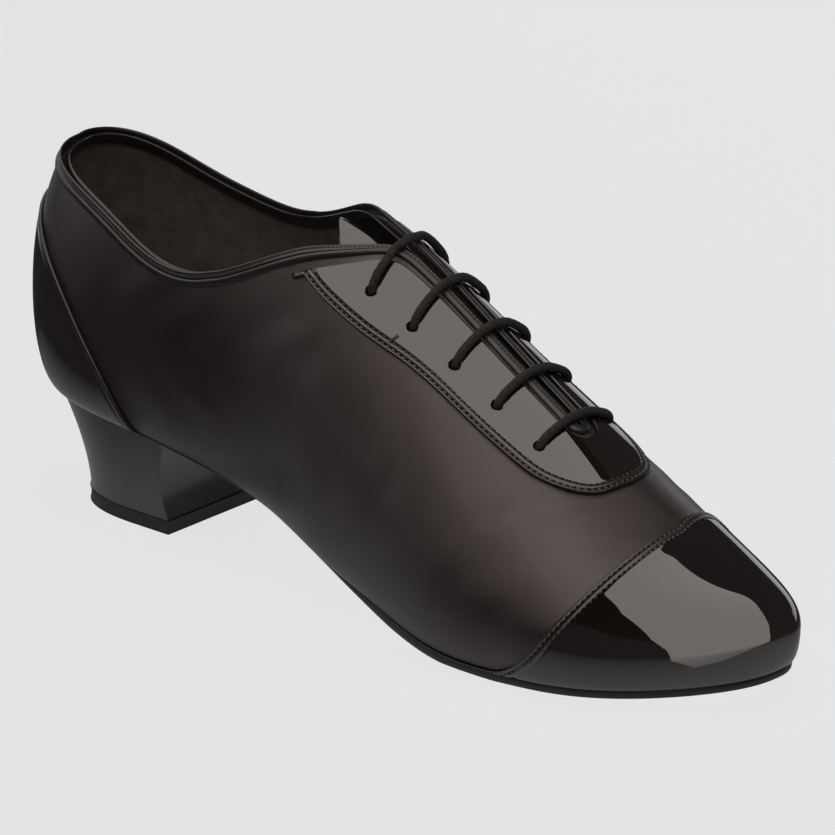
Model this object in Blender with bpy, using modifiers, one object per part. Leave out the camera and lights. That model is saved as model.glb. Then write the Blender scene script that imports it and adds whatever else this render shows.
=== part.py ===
# Ballroom dance shoe: a laced oxford with a cap toe and a flared heel, the right shoe of a pair.
# Metres, +Z up, toe towards +X, outer side towards -Y, sole standing on the plane Z = 0.
# The last is drawn from the back of the heel at X = 0, and the finished pieces are moved at the end
# so that the middle of the shoe stands at the origin.
import math

import bpy
import numpy as np
from mathutils import Vector

# Driving sizes of the last and the shoe
shoe_length = 0.2825
forefoot_width = 0.088
instep_height = 0.110
heel_lift = 0.036
back_height = 0.1105
heel_undercut = 0.0065
toe_undercut = 0.0025
heel_round_zone = 0.0425
heel_round_power = 2.3
toe_round_zone = 0.0615
toe_round_power = 2.35
heel_fan_lead = 0.040
heel_fan_zone = 0.095
toe_fan_lead = 0.022
toe_fan_zone = 0.060

# Thicknesses and clearances
upper_wall = 0.0018
overlay_thickness = 0.0008
sole_thickness = 0.0030
waist_thickness = 0.0016
insole_thickness = 0.0020
tongue_thickness = 0.0014
binding_thickness = 0.0007
collar_leg = 0.0036
throat_leg = 0.0022
binding_clearance = 0.0011
top_piece_thickness = 0.0042
piece_gap = 0.0003
overlay_gap = 0.0003
binding_lining_gap = 0.0004
tongue_gap = 0.0052
tongue_seat_gap = 0.0004
insole_clearance = 0.0004
middle_shift = 0.0010
welt_width = 0.0010
waist_inset = 0.0004
seat_inset = 0.0006
welt_start = 0.124
welt_full = 0.169
waist_start = 0.028
waist_full = 0.085

# Collar, throat, panel and lacing
throat_half_width = 0.0034
throat_end_half_width = 0.0030
throat_start = 0.1370
collar_leg_end = 0.1150
throat_end = 0.2060
throat_reach = 0.050
collar_corner_round = 0.0085
eyelet_rows = 5
eyelet_first = 0.1398
eyelet_last = 0.2020
eyelet_setback = 0.0127
eyelet_radius = 0.00185
eyelet_cutter_length = 0.010
eyelet_sides = 10
lace_radius = 0.0013
lace_clearance = 0.0005
lace_bend = 0.0016
lace_tail_shift = 0.0045
lace_straight_angle = 130.0
cap_seam = 0.2415
cap_sweep = 0.0345
cap_sweep_power = 2.4
counter_front = 0.0500
counter_power = 3.0
tongue_back = 0.1150
tongue_front = 0.2220
tongue_back_half_width = 0.0118
tongue_half_width = 0.0190
tongue_tip_half_width = 0.0120
tongue_widest = 0.160
tongue_back_round = 0.0056
tongue_settle_start = 0.208
tongue_settle_end = 0.220
panel_least_width = 0.02
panel_first_step = 0.006
panel_last_steps = (0.006, 0.002)

# Heel block
heel_breast = 0.0625
heel_breast_hollow = 0.0025
heel_bottom_half_width = 0.0205
heel_bottom_back = 0.0190
heel_seat_inset = 0.0010
heel_block_power = 2.5
heel_back_power = 1.9
heel_side_power = 1.4
heel_widest_share = 0.30

# Mesh resolution
stations = 42
sole_stations = 46
insole_stations = 34
tongue_stations = 14
tongue_points = 7
heel_levels = 8
heel_outline_points = 21
edge_margin = 1e-5

# Cross sections of the last, a row for each station from the back of the heel to the toe.
# along: share of shoe_length. outer, inner: half widths at the feather line, share of forefoot_width.
# feather: height of the feather line, share of heel_lift. outer_bulge, inner_bulge: how far the wall
# swells past the feather line, share of forefoot_width. bulge_rise and ridge: share of instep_height.
# side_full, top_full: how full the curve is at the bulge and at the ridge. shift: ridge sideways,
# share of forefoot_width.
section_columns = ("along", "outer", "inner", "feather", "outer_bulge", "inner_bulge",
                   "bulge_rise", "ridge", "side_full", "top_full", "shift")
section_rows = (
    (0.00, 0.278, 0.273, 1.000, 0.063, 0.055, 0.255, 1.200, 0.72, 0.50, 0.000),
    (0.12, 0.273, 0.273, 0.945, 0.063, 0.057, 0.245, 1.190, 0.60, 0.50, 0.000),
    (0.24, 0.273, 0.273, 0.830, 0.068, 0.068, 0.232, 1.110, 0.55, 0.50, 0.000),
    (0.36, 0.267, 0.245, 0.617, 0.068, 0.097, 0.223, 1.060, 0.52, 0.46, 0.004),
    (0.46, 0.330, 0.262, 0.390, 0.062, 0.114, 0.200, 0.997, 0.46, 0.43, 0.012),
    (0.56, 0.404, 0.364, 0.225, 0.045, 0.074, 0.164, 0.853, 0.42, 0.44, 0.018),
    (0.66, 0.468, 0.450, 0.098, 0.040, 0.034, 0.127, 0.682, 0.42, 0.47, 0.026),
    (0.76, 0.471, 0.452, 0.098, 0.036, 0.028, 0.109, 0.516, 0.46, 0.50, 0.032),
    (0.86, 0.440, 0.376, 0.155, 0.032, 0.020, 0.095, 0.358, 0.52, 0.56, 0.034),
    (1.00, 0.335, 0.248, 0.295, 0.028, 0.012, 0.090, 0.236, 0.56, 0.60, 0.036),
)

# Height of the collar edge: along is a share of shoe_length, outer and inner of back_height.
collar_columns = ("along", "outer", "inner")
collar_rows = (
    (0.00, 1.000, 1.000),
    (0.06, 0.945, 0.955),
    (0.13, 0.885, 0.887),
    (0.20, 0.803, 0.847),
    (0.27, 0.770, 0.834),
    (0.34, 0.825, 0.882),
    (0.41, 0.904, 0.966),
    (0.47, 0.942, 1.020),
    (0.55, 0.990, 1.070),
)

# Outer edge of the eyelet panel: along is a share of shoe_length, rise runs from the feather
# line (0) over the bulge to the ridge (1).
panel_columns = ("along", "rise")
panel_rows = (
    (0.402, 0.698),
    (0.440, 0.678),
    (0.500, 0.685),
    (0.560, 0.718),
    (0.620, 0.742),
    (0.690, 0.757),
    (0.735, 0.773),
    (0.768, 0.822),
    (0.786, 0.892),
    (0.792, 1.000),
)

# Shares of the rise at which the rows of the upper lie, closer over the instep; the counter has
# more rows where it narrows to a point at the back seam.
row_shares = (0.0, 0.11, 0.21, 0.31, 0.41, 0.51, 0.61, 0.71, 0.80, 0.88, 0.95, 1.0)
counter_shares = (0.05, 0.11, 0.21, 0.31, 0.41, 0.51, 0.61, 0.71, 0.755, 0.785, 0.80, 0.81, 0.82,
                  0.826, 0.83)
bulge_share = 0.3
overlay_foot_rise = 0.05
low_side_handle = 0.55
lace_rest_shares = (0.35, 0.70, 1.0)


def smooth_curve(knots, values):
    """Natural cubic spline through the knots."""
    knots = np.asarray(knots, float)
    values = np.asarray(values, float)
    count = len(knots)
    step = np.diff(knots)
    matrix = np.zeros((count, count))
    right = np.zeros(count)
    matrix[0, 0] = 1.0
    matrix[-1, -1] = 1.0
    slopes = np.diff(values) / step
    for i in range(1, count - 1):
        matrix[i, i - 1:i + 2] = step[i - 1], 2 * (step[i - 1] + step[i]), step[i]
        right[i] = 6 * (slopes[i] - slopes[i - 1])
    bend = np.linalg.solve(matrix, right)

    def value_at(x):
        x = np.asarray(x, float)
        i = np.clip(np.searchsorted(knots, x) - 1, 0, count - 2)
        a = (knots[i + 1] - x) / step[i]
        b = (x - knots[i]) / step[i]
        bent = (a ** 3 - a) * bend[i] + (b ** 3 - b) * bend[i + 1]
        return a * values[i] + b * values[i + 1] + bent * step[i] ** 2 / 6

    return value_at


def table_curves(columns, rows, scales):
    """One smooth curve for each column after the first, in metres where a scale is given."""
    data = np.array(rows)
    curves = {}
    for k, name in enumerate(columns[1:], 1):
        curves[name] = smooth_curve(data[:, 0], data[:, k] * scales.get(name, 1.0))
    return curves


section = table_curves(section_columns, section_rows, {
    "outer": forefoot_width, "inner": forefoot_width, "feather": heel_lift,
    "outer_bulge": forefoot_width, "inner_bulge": forefoot_width,
    "bulge_rise": instep_height, "ridge": instep_height, "shift": forefoot_width})
collar = table_curves(collar_columns, collar_rows, {"outer": back_height, "inner": back_height})
side_names = {-1: "outer", 1: "inner"}


def end_rounding(along):
    """1 along the middle of the last, falling to 0 at the back of the heel and at the toe tip."""
    heel = np.clip(1 - along * shoe_length / heel_round_zone, 0, 1)
    toe = np.clip(1 - (1 - along) * shoe_length / toe_round_zone, 0, 1)
    heel_part = (1 - heel ** heel_round_power) ** (1 / heel_round_power)
    toe_part = (1 - toe ** toe_round_power) ** (1 / toe_round_power)
    return heel_part * toe_part


def feather_x(along):
    return heel_undercut + along * (shoe_length - heel_undercut - toe_undercut)


def ridge_x(along):
    """Where the rib that starts at along reaches the ridge: the ribs fan out at both ends."""
    x = along * shoe_length
    x = x + heel_fan_lead * np.clip(1 - x / heel_fan_zone, 0, 1) ** 2
    return x - toe_fan_lead * np.clip(1 - (shoe_length - x) / toe_fan_zone, 0, 1) ** 2


def ease(x, start, full):
    """Smooth step from 0 at start to 1 at full."""
    share = np.clip((x - start) / (full - start), 0, 1)
    return share * share * (3 - 2 * share)


def bezier(a, b, c, d, s):
    return (1 - s) ** 3 * a + 3 * (1 - s) ** 2 * s * b + 3 * (1 - s) * s * s * c + s ** 3 * d


def last_point(along, side, rise):
    """Point of the last's surface. along 0 heel to 1 toe, side -1 outer or 1 inner,
    rise 0 at the feather line, bulge_share at the bulge and 1 at the ridge."""
    along, rise = np.broadcast_arrays(np.asarray(along, float), np.asarray(rise, float))
    name = side_names[side]
    rounding = end_rounding(along)
    half = section[name](along)
    bulge = section[name + "_bulge"](along)
    foot_z = section["feather"](along)
    top_x = ridge_x(along)
    top_y = section["shift"](top_x / shoe_length)
    top_z = section["ridge"](top_x / shoe_length)
    zero = np.zeros_like(top_x)
    foot = np.stack([feather_x(along), side * half * rounding + zero, foot_z], -1)
    swell = np.stack([along * shoe_length, side * (half + bulge) * rounding,
                      foot_z + section["bulge_rise"](along)], -1)
    top = np.stack([top_x, top_y, top_z], -1)
    flat = np.array([1.0, 1.0, 0.0])
    up = np.array([0.0, 0.0, 1.0])
    low = swell - foot
    high = top - swell
    foot_handle = foot + low * flat * low_side_handle
    swell_below = swell - low * up * low_side_handle
    swell_above = swell + high * up * section["side_full"](along)[..., None]
    top_handle = top - high * flat * section["top_full"](along)[..., None]
    s_low = np.clip(rise / bulge_share, 0, 1)[..., None]
    s_high = np.clip((rise - bulge_share) / (1 - bulge_share), 0, 1)[..., None]
    below = bezier(foot, foot_handle, swell_below, swell, s_low)
    above = bezier(swell, swell_above, top_handle, top, s_high)
    return np.where((rise < bulge_share)[..., None], below, above)


def surface_frame(along, side, rise):
    """Point and outward normal at one place of the surface."""
    step = 1e-4
    point = last_point(along, side, rise)
    forward = last_point(along + step, side, rise) - last_point(along - step, side, rise)
    upward = last_point(along, side, min(rise + step, 1.0)) - last_point(along, side, rise - step)
    normal = np.cross(forward, upward) * -side
    return point, normal / np.linalg.norm(normal)


def throat_half(x, inset):
    """Half the width of the throat at x, with a round end; inset widens it into the panel."""
    end = throat_end + inset
    share = np.clip((x - throat_start) / (throat_end - throat_start), 0, 1)
    half = throat_half_width + (throat_end_half_width - throat_half_width) * share + inset
    round_part = np.clip((x - (end - half)) / half, 0, 1)
    return half * np.sqrt(1 - round_part ** 2)


rise_samples = np.linspace(0.3, 1.0, 561)


def edge_rise(along, side, inset=0.0):
    """Rise at which the rib meets the collar or the throat edge, inset below it.
    The two sides share one rib at the back seam."""
    if along == 0:
        side = -1
    points = last_point(along, side, rise_samples)
    x = points[:, 0]
    below_collar = collar[side_names[side]](x / shoe_length) - inset - points[:, 2]
    beside_throat = np.abs(points[:, 1] - section["shift"](x / shoe_length)) - throat_half(x, inset)
    beside_throat = np.where(x < throat_start - throat_reach, shoe_length, beside_throat)
    spread = below_collar - beside_throat
    inside = 0.5 * (below_collar + beside_throat - np.sqrt(spread ** 2 + collar_corner_round ** 2 / 4))
    ahead = ridge_x(along) >= throat_end + inset - edge_margin
    if ahead:
        return 1.0
    outside = np.nonzero(inside <= 0)[0]
    if len(outside) == 0:
        return 1.0
    k = outside[0]
    if k == 0:
        return rise_samples[0]
    share = inside[k - 1] / (inside[k - 1] - inside[k])
    return rise_samples[k - 1] + share * (rise_samples[k] - rise_samples[k - 1])


def rise_beside_throat(along, side, distance):
    """Rise of the point that lies distance outside the throat edge."""
    points = last_point(along, side, rise_samples)
    x = points[:, 0]
    beyond = np.abs(points[:, 1] - section["shift"](x / shoe_length)) - throat_half(x, 0.0) - distance
    return float(np.interp(0.0, -beyond, rise_samples))


def even_stations(count):
    """Shares along the last at equal steps of the outer feather line, round both ends."""
    angle = np.linspace(0, math.pi, 4001)
    along = (1 - np.cos(angle)) / 2
    x = feather_x(along)
    y = section["outer"](along) * end_rounding(along)
    run = np.concatenate([[0], np.cumsum(np.hypot(np.diff(x), np.diff(y)))])
    return np.interp(np.linspace(0, run[-1], count), run, along)


def along_at(x):
    """Share along whose rib reaches the ridge at x."""
    grid = np.linspace(0, 1, 2001)
    return float(np.interp(x, ridge_x(grid), grid))


def upper_stations():
    """Even stations, with close ones round the end of the throat."""
    round_start = throat_end - throat_end_half_width
    special = [along_at(round_start + throat_end_half_width * math.sin(math.radians(a)))
               for a in (0, 30, 60, 90)]
    clear = 0.45 / stations
    kept = [a for a in even_stations(stations) if min(abs(a - s) for s in special) > clear]
    return np.array(sorted(kept + special))


def hue(name, colour, roughness, coat=0.0):
    material = bpy.data.materials.new(name)
    material.use_nodes = True
    shader = material.node_tree.nodes["Principled BSDF"]
    shader.inputs["Base Color"].default_value = (*colour, 1.0)
    shader.inputs["Roughness"].default_value = roughness
    shader.inputs["Coat Weight"].default_value = coat
    shader.inputs["Metallic"].default_value = 0.0
    material.diffuse_color = (*colour, 1.0)
    return material


def mesh_object(name, vertices, faces, material, collection):
    mesh = bpy.data.meshes.new(name)
    mesh.from_pydata([tuple(v) for v in vertices], [], faces)
    mesh.validate()
    mesh.update()
    mesh.materials.append(material)
    mesh.shade_smooth()
    item = bpy.data.objects.new(name, mesh)
    collection.objects.link(item)
    return item


def weld_grid(columns):
    """Vertices and quads of a grid of columns, with equal points made one."""
    lookup = {}
    vertices = []

    def index_of(point):
        key = tuple(round(float(c) * 1e7) for c in point)
        if key not in lookup:
            lookup[key] = len(vertices)
            vertices.append([float(c) for c in point])
        return lookup[key]

    ids = [[index_of(point) for point in column] for column in columns]
    faces = []
    for left, right in zip(ids, ids[1:]):
        for k in range(len(left) - 1):
            loop = [left[k], right[k], right[k + 1], left[k + 1]]
            loop = [v for i, v in enumerate(loop) if v != loop[i - 1]]
            if len(loop) > 2:
                faces.append(loop)
    return vertices, faces, ids


def add_shell(item, thickness, offset):
    shell = item.modifiers.new("wall", "SOLIDIFY")
    shell.thickness = thickness
    shell.offset = offset
    shell.use_even_offset = True
    shell.use_quality_normals = True
    return shell


def raise_along_normals(item, distance):
    """Moves the open sheet out by distance, along its own normals."""
    mesh = item.data
    normals = [v.normal.copy() for v in mesh.vertices]
    for vertex, normal in zip(mesh.vertices, normals):
        vertex.co = vertex.co + normal * distance
    mesh.update()


def ring_columns(places):
    """Columns of points for a list of columns of (along, side, rise)."""
    return [[last_point(a, s, r) for a, s, r in column] for column in places]


def loop_places(alongs, rises_for):
    """Columns that run from the outer side round the toe to the inner side."""
    outer = [[(a, -1, r) for r in rises_for(a, -1)] for a in alongs]
    inner = [[(a, 1, r) for r in rises_for(a, 1)] for a in alongs]
    return outer + inner[-2::-1]


def make_upper(material, collection):
    """The upper from the collar and the throat down to the feather line, open below.
    Also returns the vertex numbers of its grid, whose last row is the rim."""
    columns = ring_columns(loop_places(upper_stations(), row_rises))
    vertices, faces, ids = weld_grid(columns)
    upper = mesh_object("upper", vertices, faces, material, collection)
    add_shell(upper, upper_wall, -1.0)
    return upper, ids


def row_rises(along, side):
    """Rises of the upper's rows on one rib; an overlay that uses them lies flat on the upper."""
    return [share * edge_rise(along, side) for share in row_shares]


def make_overlay(name, places, material, collection):
    """Thin leather panel over the upper, from columns of places on its surface."""
    vertices, faces, _ = weld_grid(ring_columns(places))
    panel = mesh_object(name, vertices, faces, material, collection)
    raise_along_normals(panel, overlay_gap)
    add_shell(panel, overlay_thickness, 1.0)
    return panel


def make_toe_cap(material, collection):
    """Cap ahead of a seam that sweeps back towards the sole."""
    rises = [max(share, overlay_foot_rise) for share in row_shares]

    def seam(rise):
        return (cap_seam - cap_sweep * (1 - rise) ** cap_sweep_power) / shoe_length

    alongs = [a for a in upper_stations() if a > seam(0.0)]
    outer = [[(max(a, seam(r)), -1, r) for r in rises] for a in alongs]
    inner = [[(max(a, seam(r)), 1, r) for r in rises] for a in alongs]
    return make_overlay("toe_cap", outer + inner[-2::-1], material, collection)


def make_heel_counter(material, collection):
    """Counter round the back of the heel, its front seam sweeping up to the back seam."""
    front = counter_front / shoe_length

    def seam(share):
        return front * (1 - (share / counter_shares[-1]) ** counter_power)

    def column(along, side):
        places = []
        for share in counter_shares:
            a = min(along, seam(share))
            places.append((a, side, share * edge_rise(a, side)))
        return places

    alongs = [a for a in upper_stations() if a < front] + [front]
    places = [column(a, 1) for a in alongs[::-1]] + [column(a, -1) for a in alongs[1:]]
    return make_overlay("heel_counter", places, material, collection)


def panel_edge():
    """The panel's outer edge as closely spaced places, smooth through the rows of the table."""
    data = np.array(panel_rows)
    run = np.linspace(0, 1, len(data))
    fine = np.linspace(0, 1, 181)
    return smooth_curve(run, data[:, 0])(fine), np.minimum(smooth_curve(run, data[:, 1])(fine), 1.0)


def make_eyelet_panel(material, collection):
    """One panel down both sides of the throat and round its front."""
    first = panel_rows[0][0]
    last = panel_rows[-1][0]
    start = first + panel_first_step
    stop = last - panel_last_steps[0]
    alongs = [a for a in upper_stations() if start < a < stop + panel_last_steps[1]]
    alongs = [first, start] + alongs + [last - step for step in panel_last_steps] + [last]
    edge_along, edge_low = panel_edge()

    def column(along, side):
        high = edge_rise(along, side, leg_at(along) + binding_clearance)
        low = float(np.interp(along, edge_along, edge_low))
        if high < 1.0:
            low = min(low, high - panel_least_width)
        return [(along, side, min(max(rise, low), high)) for rise in row_rises(along, side)]

    outer = [column(a, -1) for a in alongs]
    inner = [column(a, 1) for a in alongs]
    return make_overlay("eyelet_panel", outer + inner[-2::-1], material, collection)


def leg_at(along):
    """Width of the binding: full round the collar, narrower down the throat."""
    share = np.clip((ridge_x(along) - collar_leg_end) / (throat_start - collar_leg_end), 0, 1)
    return collar_leg + (throat_leg - collar_leg) * float(share)


def make_binding(upper, ids, material, collection):
    """U profile round the rim of collar and throat, as one closed ring."""
    mesh = upper.data
    ring = [column[-1] for column in ids[:-1]]
    tip = next(v for v in ring[1:] if ring.count(v) > 1 or mesh.vertices[v].co.x > throat_end - edge_margin)
    first = ring.index(tip)
    last = len(ring) - 1 - ring[::-1].index(tip)
    loop = ring[:first + 1] + ring[last + 1:]
    points = [mesh.vertices[v].co.copy() for v in loop]
    normals = [mesh.vertices[v].normal.copy() for v in loop]
    out = overlay_gap + binding_thickness
    inside = -(upper_wall + binding_lining_gap)
    profile = (
        (out, -1.0, 0.0), (out, 0.0, piece_gap), (0.0, 0.0, out), (-upper_wall, 0.0, out),
        (inside - binding_thickness, 0.0, piece_gap), (inside - binding_thickness, -1.0, 0.0),
        (inside, -1.0, 0.0), (inside, 0.0, piece_gap), (overlay_gap, 0.0, piece_gap),
        (overlay_gap, -1.0, 0.0),
    )
    vertices = []
    faces = []
    count = len(points)
    sides = len(profile)
    for k in range(count):
        run = (points[(k + 1) % count] - points[k - 1]).normalized()
        normal = normals[k] - run * normals[k].dot(run)
        normal.normalize()
        beyond = run.cross(normal) * -1.0
        leg = leg_at(points[k].x / shoe_length)
        for across, legs, past in profile:
            vertices.append(points[k] + normal * across + beyond * (legs * leg + past))
    for k in range(count):
        near = k * sides
        far = ((k + 1) % count) * sides
        for j in range(sides):
            nxt = (j + 1) % sides
            faces.append([near + j, far + j, far + nxt, near + nxt])
    return mesh_object("topline_binding", vertices, faces, material, collection)


def outline_half(along, side, spread):
    """Half width of a flat piece under the last: the feather line moved out by spread."""
    half = section[side_names[side]](along) + spread
    return side * half * end_rounding(along)


def sole_spread(along):
    """Welt round the forepart, flush at the waist, set in under the heel."""
    x = along * shoe_length
    waist = np.clip((x - waist_start) / (waist_full - waist_start), 0, 1)
    behind = -seat_inset + (seat_inset - waist_inset) * waist
    return behind + (welt_width - behind) * ease(x, welt_start, welt_full)


def outline_x(along, front_add, back_add):
    """Where the outline lies along the shoe, moved out at the toe and at the heel."""
    return feather_x(along) + front_add * along ** 6 - back_add * (1 - along) ** 6


def slab(name, alongs, outline, top_z, bottom_z, material, collection):
    """Closed slab between two heights that vary along the shoe, its side from outline."""
    columns = []
    for a in alongs:
        x, outer, inner = outline(a)
        top = top_z(a)
        bottom = bottom_z(a)
        columns.append([(x, outer, bottom), (x, outer, top), (x, inner, top), (x, inner, bottom),
                        (x, outer, bottom)])
    vertices, faces, _ = weld_grid(columns)
    return mesh_object(name, vertices, faces, material, collection)


def sole_top(along):
    return float(section["feather"](along)) - piece_gap


def sole_bottom(along):
    """Full thickness under the ball and the toe, thinner through the waist and the seat."""
    forepart = ease(along * shoe_length, welt_start, welt_full)
    thickness = waist_thickness + (sole_thickness - waist_thickness) * forepart
    return max(0.0, sole_top(along) - float(thickness))


def make_outsole(material, collection):
    def outline(a):
        spread = float(sole_spread(a))
        x = float(outline_x(a, welt_width, -seat_inset))
        return x, float(outline_half(a, -1, spread)), float(outline_half(a, 1, spread))

    return slab("outsole", even_stations(sole_stations), outline, sole_top, sole_bottom,
                material, collection)


def make_insole(material, collection):
    inset = upper_wall + insole_clearance

    def outline(a):
        x = float(outline_x(a, -inset, -inset))
        return x, float(outline_half(a, -1, -inset)), float(outline_half(a, 1, -inset))

    def bottom(a):
        return float(section["feather"](a)) + piece_gap

    def top(a):
        return bottom(a) + insole_thickness

    return slab("insole", even_stations(insole_stations), outline, top, bottom, material, collection)


def heel_ring(level):
    """Outline of the heel at a level, 0 at the bottom and 1 under the sole, as (x, y) points
    from the outer breast corner round the back to the inner breast corner."""
    back_top = heel_undercut + heel_seat_inset
    back = heel_bottom_back + (back_top - heel_bottom_back) * level ** heel_back_power
    seat_half = forefoot_width * section_rows[1][1] - seat_inset - heel_seat_inset
    half = heel_bottom_half_width
    half += (seat_half - heel_bottom_half_width) * level ** heel_side_power
    breast = heel_breast - heel_breast_hollow * math.sin(math.pi * level)
    widest = breast - (breast - back) * heel_widest_share
    points = [(breast, -half)]
    for angle in np.linspace(-math.pi / 2, math.pi / 2, heel_outline_points):
        c = abs(math.cos(angle)) ** (2 / heel_block_power)
        s = math.copysign(abs(math.sin(angle)) ** (2 / heel_block_power), angle)
        points.append((widest - (widest - back) * c, half * s))
    return points + [(breast, half)]


def loft(name, rings, material, collection):
    """Closed body through rings of equal count; the first ring is the lowest."""
    count = len(rings[0])
    vertices = [point for ring in rings for point in ring]
    faces = []
    for level in range(len(rings) - 1):
        low = level * count
        high = low + count
        for k in range(count):
            nxt = (k + 1) % count
            faces.append([low + k, high + k, high + nxt, low + nxt])
    top = (len(rings) - 1) * count
    for k in range((count - 1) // 2):
        mirror = count - 1 - k
        if mirror - 1 == k + 1:
            faces.append([k, k + 1, mirror])
            faces.append([top + mirror, top + k + 1, top + k])
        elif mirror - 1 > k:
            faces.append([k, k + 1, mirror - 1, mirror])
            faces.append([top + mirror, top + mirror - 1, top + k + 1, top + k])
    return mesh_object(name, vertices, faces, material, collection)


def seat_level(x):
    """Underside of the sole above x, where the heel meets it."""
    share = (x - heel_undercut) / (shoe_length - heel_undercut - toe_undercut)
    return sole_bottom(min(max(share, 0.0), 1.0)) - piece_gap


def make_heel(material, collection):
    bottom = top_piece_thickness + piece_gap
    rings = []
    for level in np.linspace(0, 1, heel_levels):
        ring = heel_ring(level)
        rings.append([(x, y, bottom + (seat_level(x) - bottom) * level) for x, y in ring])
    return loft("heel", rings, material, collection)


def make_top_piece(material, collection):
    ring = heel_ring(0.0)
    low = [(x, y, 0.0) for x, y in ring]
    high = [(x, y, top_piece_thickness) for x, y in ring]
    return loft("heel_top_piece", [low, high], material, collection)


def make_tongue(material, collection):
    """Leaf under the throat: deep enough for the lace runs, seated under the vamp at its front."""
    columns = []
    for x in np.linspace(tongue_back, tongue_front, tongue_stations):
        along = along_at(x)
        half = np.interp(x, (tongue_back, tongue_widest, tongue_front),
                         (tongue_back_half_width, tongue_half_width, tongue_tip_half_width))
        settle = ease(x, tongue_settle_start, tongue_settle_end)
        depth = upper_wall + tongue_gap + (tongue_seat_gap - tongue_gap) * settle
        rounding = tongue_back_round * (1 - (x - tongue_back) / (tongue_front - tongue_back)) ** 8
        column = []
        for w in np.linspace(-1, 1, tongue_points):
            side = -1 if w < 0 else 1
            place = along + rounding * w * w / shoe_length
            points = last_point(place, side, rise_samples)
            aside = np.abs(points[:, 1] - points[-1, 1])
            rise = float(np.interp(-abs(w) * half, -aside, rise_samples))
            point, normal = surface_frame(place, side, min(rise, 1.0))
            column.append(point - normal * depth)
        columns.append(column)
    vertices, faces, _ = weld_grid(columns)
    tongue = mesh_object("tongue", vertices, faces, material, collection)
    add_shell(tongue, tongue_thickness, -1.0)
    return tongue


def eyelet_places():
    rows = []
    for k in range(eyelet_rows):
        x = eyelet_first + (eyelet_last - eyelet_first) * k / (eyelet_rows - 1)
        along = along_at(x)
        rows.append({side: (along, side, rise_beside_throat(along, side, eyelet_setback))
                     for side in (-1, 1)})
    return rows


def cut_eyelets(targets, cutters):
    """Round holes through the upper and the panel, square to the surface."""
    for k, row in enumerate(eyelet_places()):
        for side, place in row.items():
            point, normal = surface_frame(*place)
            bpy.ops.mesh.primitive_cylinder_add(
                vertices=eyelet_sides, radius=eyelet_radius, depth=eyelet_cutter_length)
            cutter = bpy.context.object
            cutter.name = "eyelet_cutter_%d_%s" % (k + 1, side_names[side])
            cutter.rotation_mode = "QUATERNION"
            cutter.rotation_quaternion = Vector(normal).to_track_quat("Z", "Y")
            cutter.location = Vector(point)
            cutter.display_type = "WIRE"
            cutter.hide_render = True
            for owner in list(cutter.users_collection):
                owner.objects.unlink(cutter)
            cutters.objects.link(cutter)
            for target in targets:
                cut = target.modifiers.new("eyelet", "BOOLEAN")
                cut.operation = "DIFFERENCE"
                cut.solver = "EXACT"
                cut.object = cutter


def rounded_path(corners, radius, steps):
    """Points of a polyline with its sharp corners rounded."""
    path = [corners[0]]
    for before, corner, after in zip(corners, corners[1:], corners[2:]):
        into = before - corner
        out = after - corner
        if into.angle(out) > math.radians(lace_straight_angle):
            path.append(corner)
            continue
        reach = min(radius, into.length * 0.45, out.length * 0.45)
        start = corner + into.normalized() * reach
        end = corner + out.normalized() * reach
        for k in range(steps + 1):
            s = k / steps
            path.append((1 - s) ** 2 * start + 2 * (1 - s) * s * corner + s * s * end)
    path.append(corners[-1])
    return path


def lace_corners():
    """Straight bars over the throat, joined by runs inside: the corners of the lace's path."""
    over = overlay_gap + overlay_thickness + lace_clearance + lace_radius
    under = -(upper_wall + lace_clearance + lace_radius)
    rows = eyelet_places()
    corners = []
    side = -1
    for row in rows:
        halves = {}
        for own in (-1, 1):
            along, own, rise = row[own]
            point, normal = (Vector(v) for v in surface_frame(along, own, rise))
            half = [point + normal * under, point + normal * over]
            edge = edge_rise(along, own)
            for share in lace_rest_shares:
                place = surface_frame(along, own, rise + (edge - rise) * share)
                half.append(Vector(place[0]) + Vector(place[1]) * over)
            halves[own] = half
        corners += halves[side] + halves[-side][::-1]
        side = -side
    return corners, rows, side


def make_lace(material, collection):
    corners, rows, last_side = lace_corners()
    under = -(upper_wall + lace_clearance + lace_radius)
    tail = []
    for row in reversed(rows):
        along, side, rise = row[last_side]
        rise = rise_beside_throat(along, side, eyelet_setback - lace_tail_shift)
        point, normal = (Vector(v) for v in surface_frame(along, side, rise))
        tail.append(point + normal * under)
    path = rounded_path(corners + tail, lace_bend, 2)
    curve = bpy.data.curves.new("lace_path", "CURVE")
    curve.dimensions = "3D"
    curve.bevel_depth = lace_radius
    curve.bevel_resolution = 2
    curve.use_fill_caps = True
    spline = curve.splines.new("POLY")
    spline.points.add(len(path) - 1)
    for target, point in zip(spline.points, path):
        target.co = (*point, 1.0)
    lace = bpy.data.objects.new("lace", curve)
    curve.materials.append(material)
    collection.objects.link(lace)
    return lace


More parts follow.
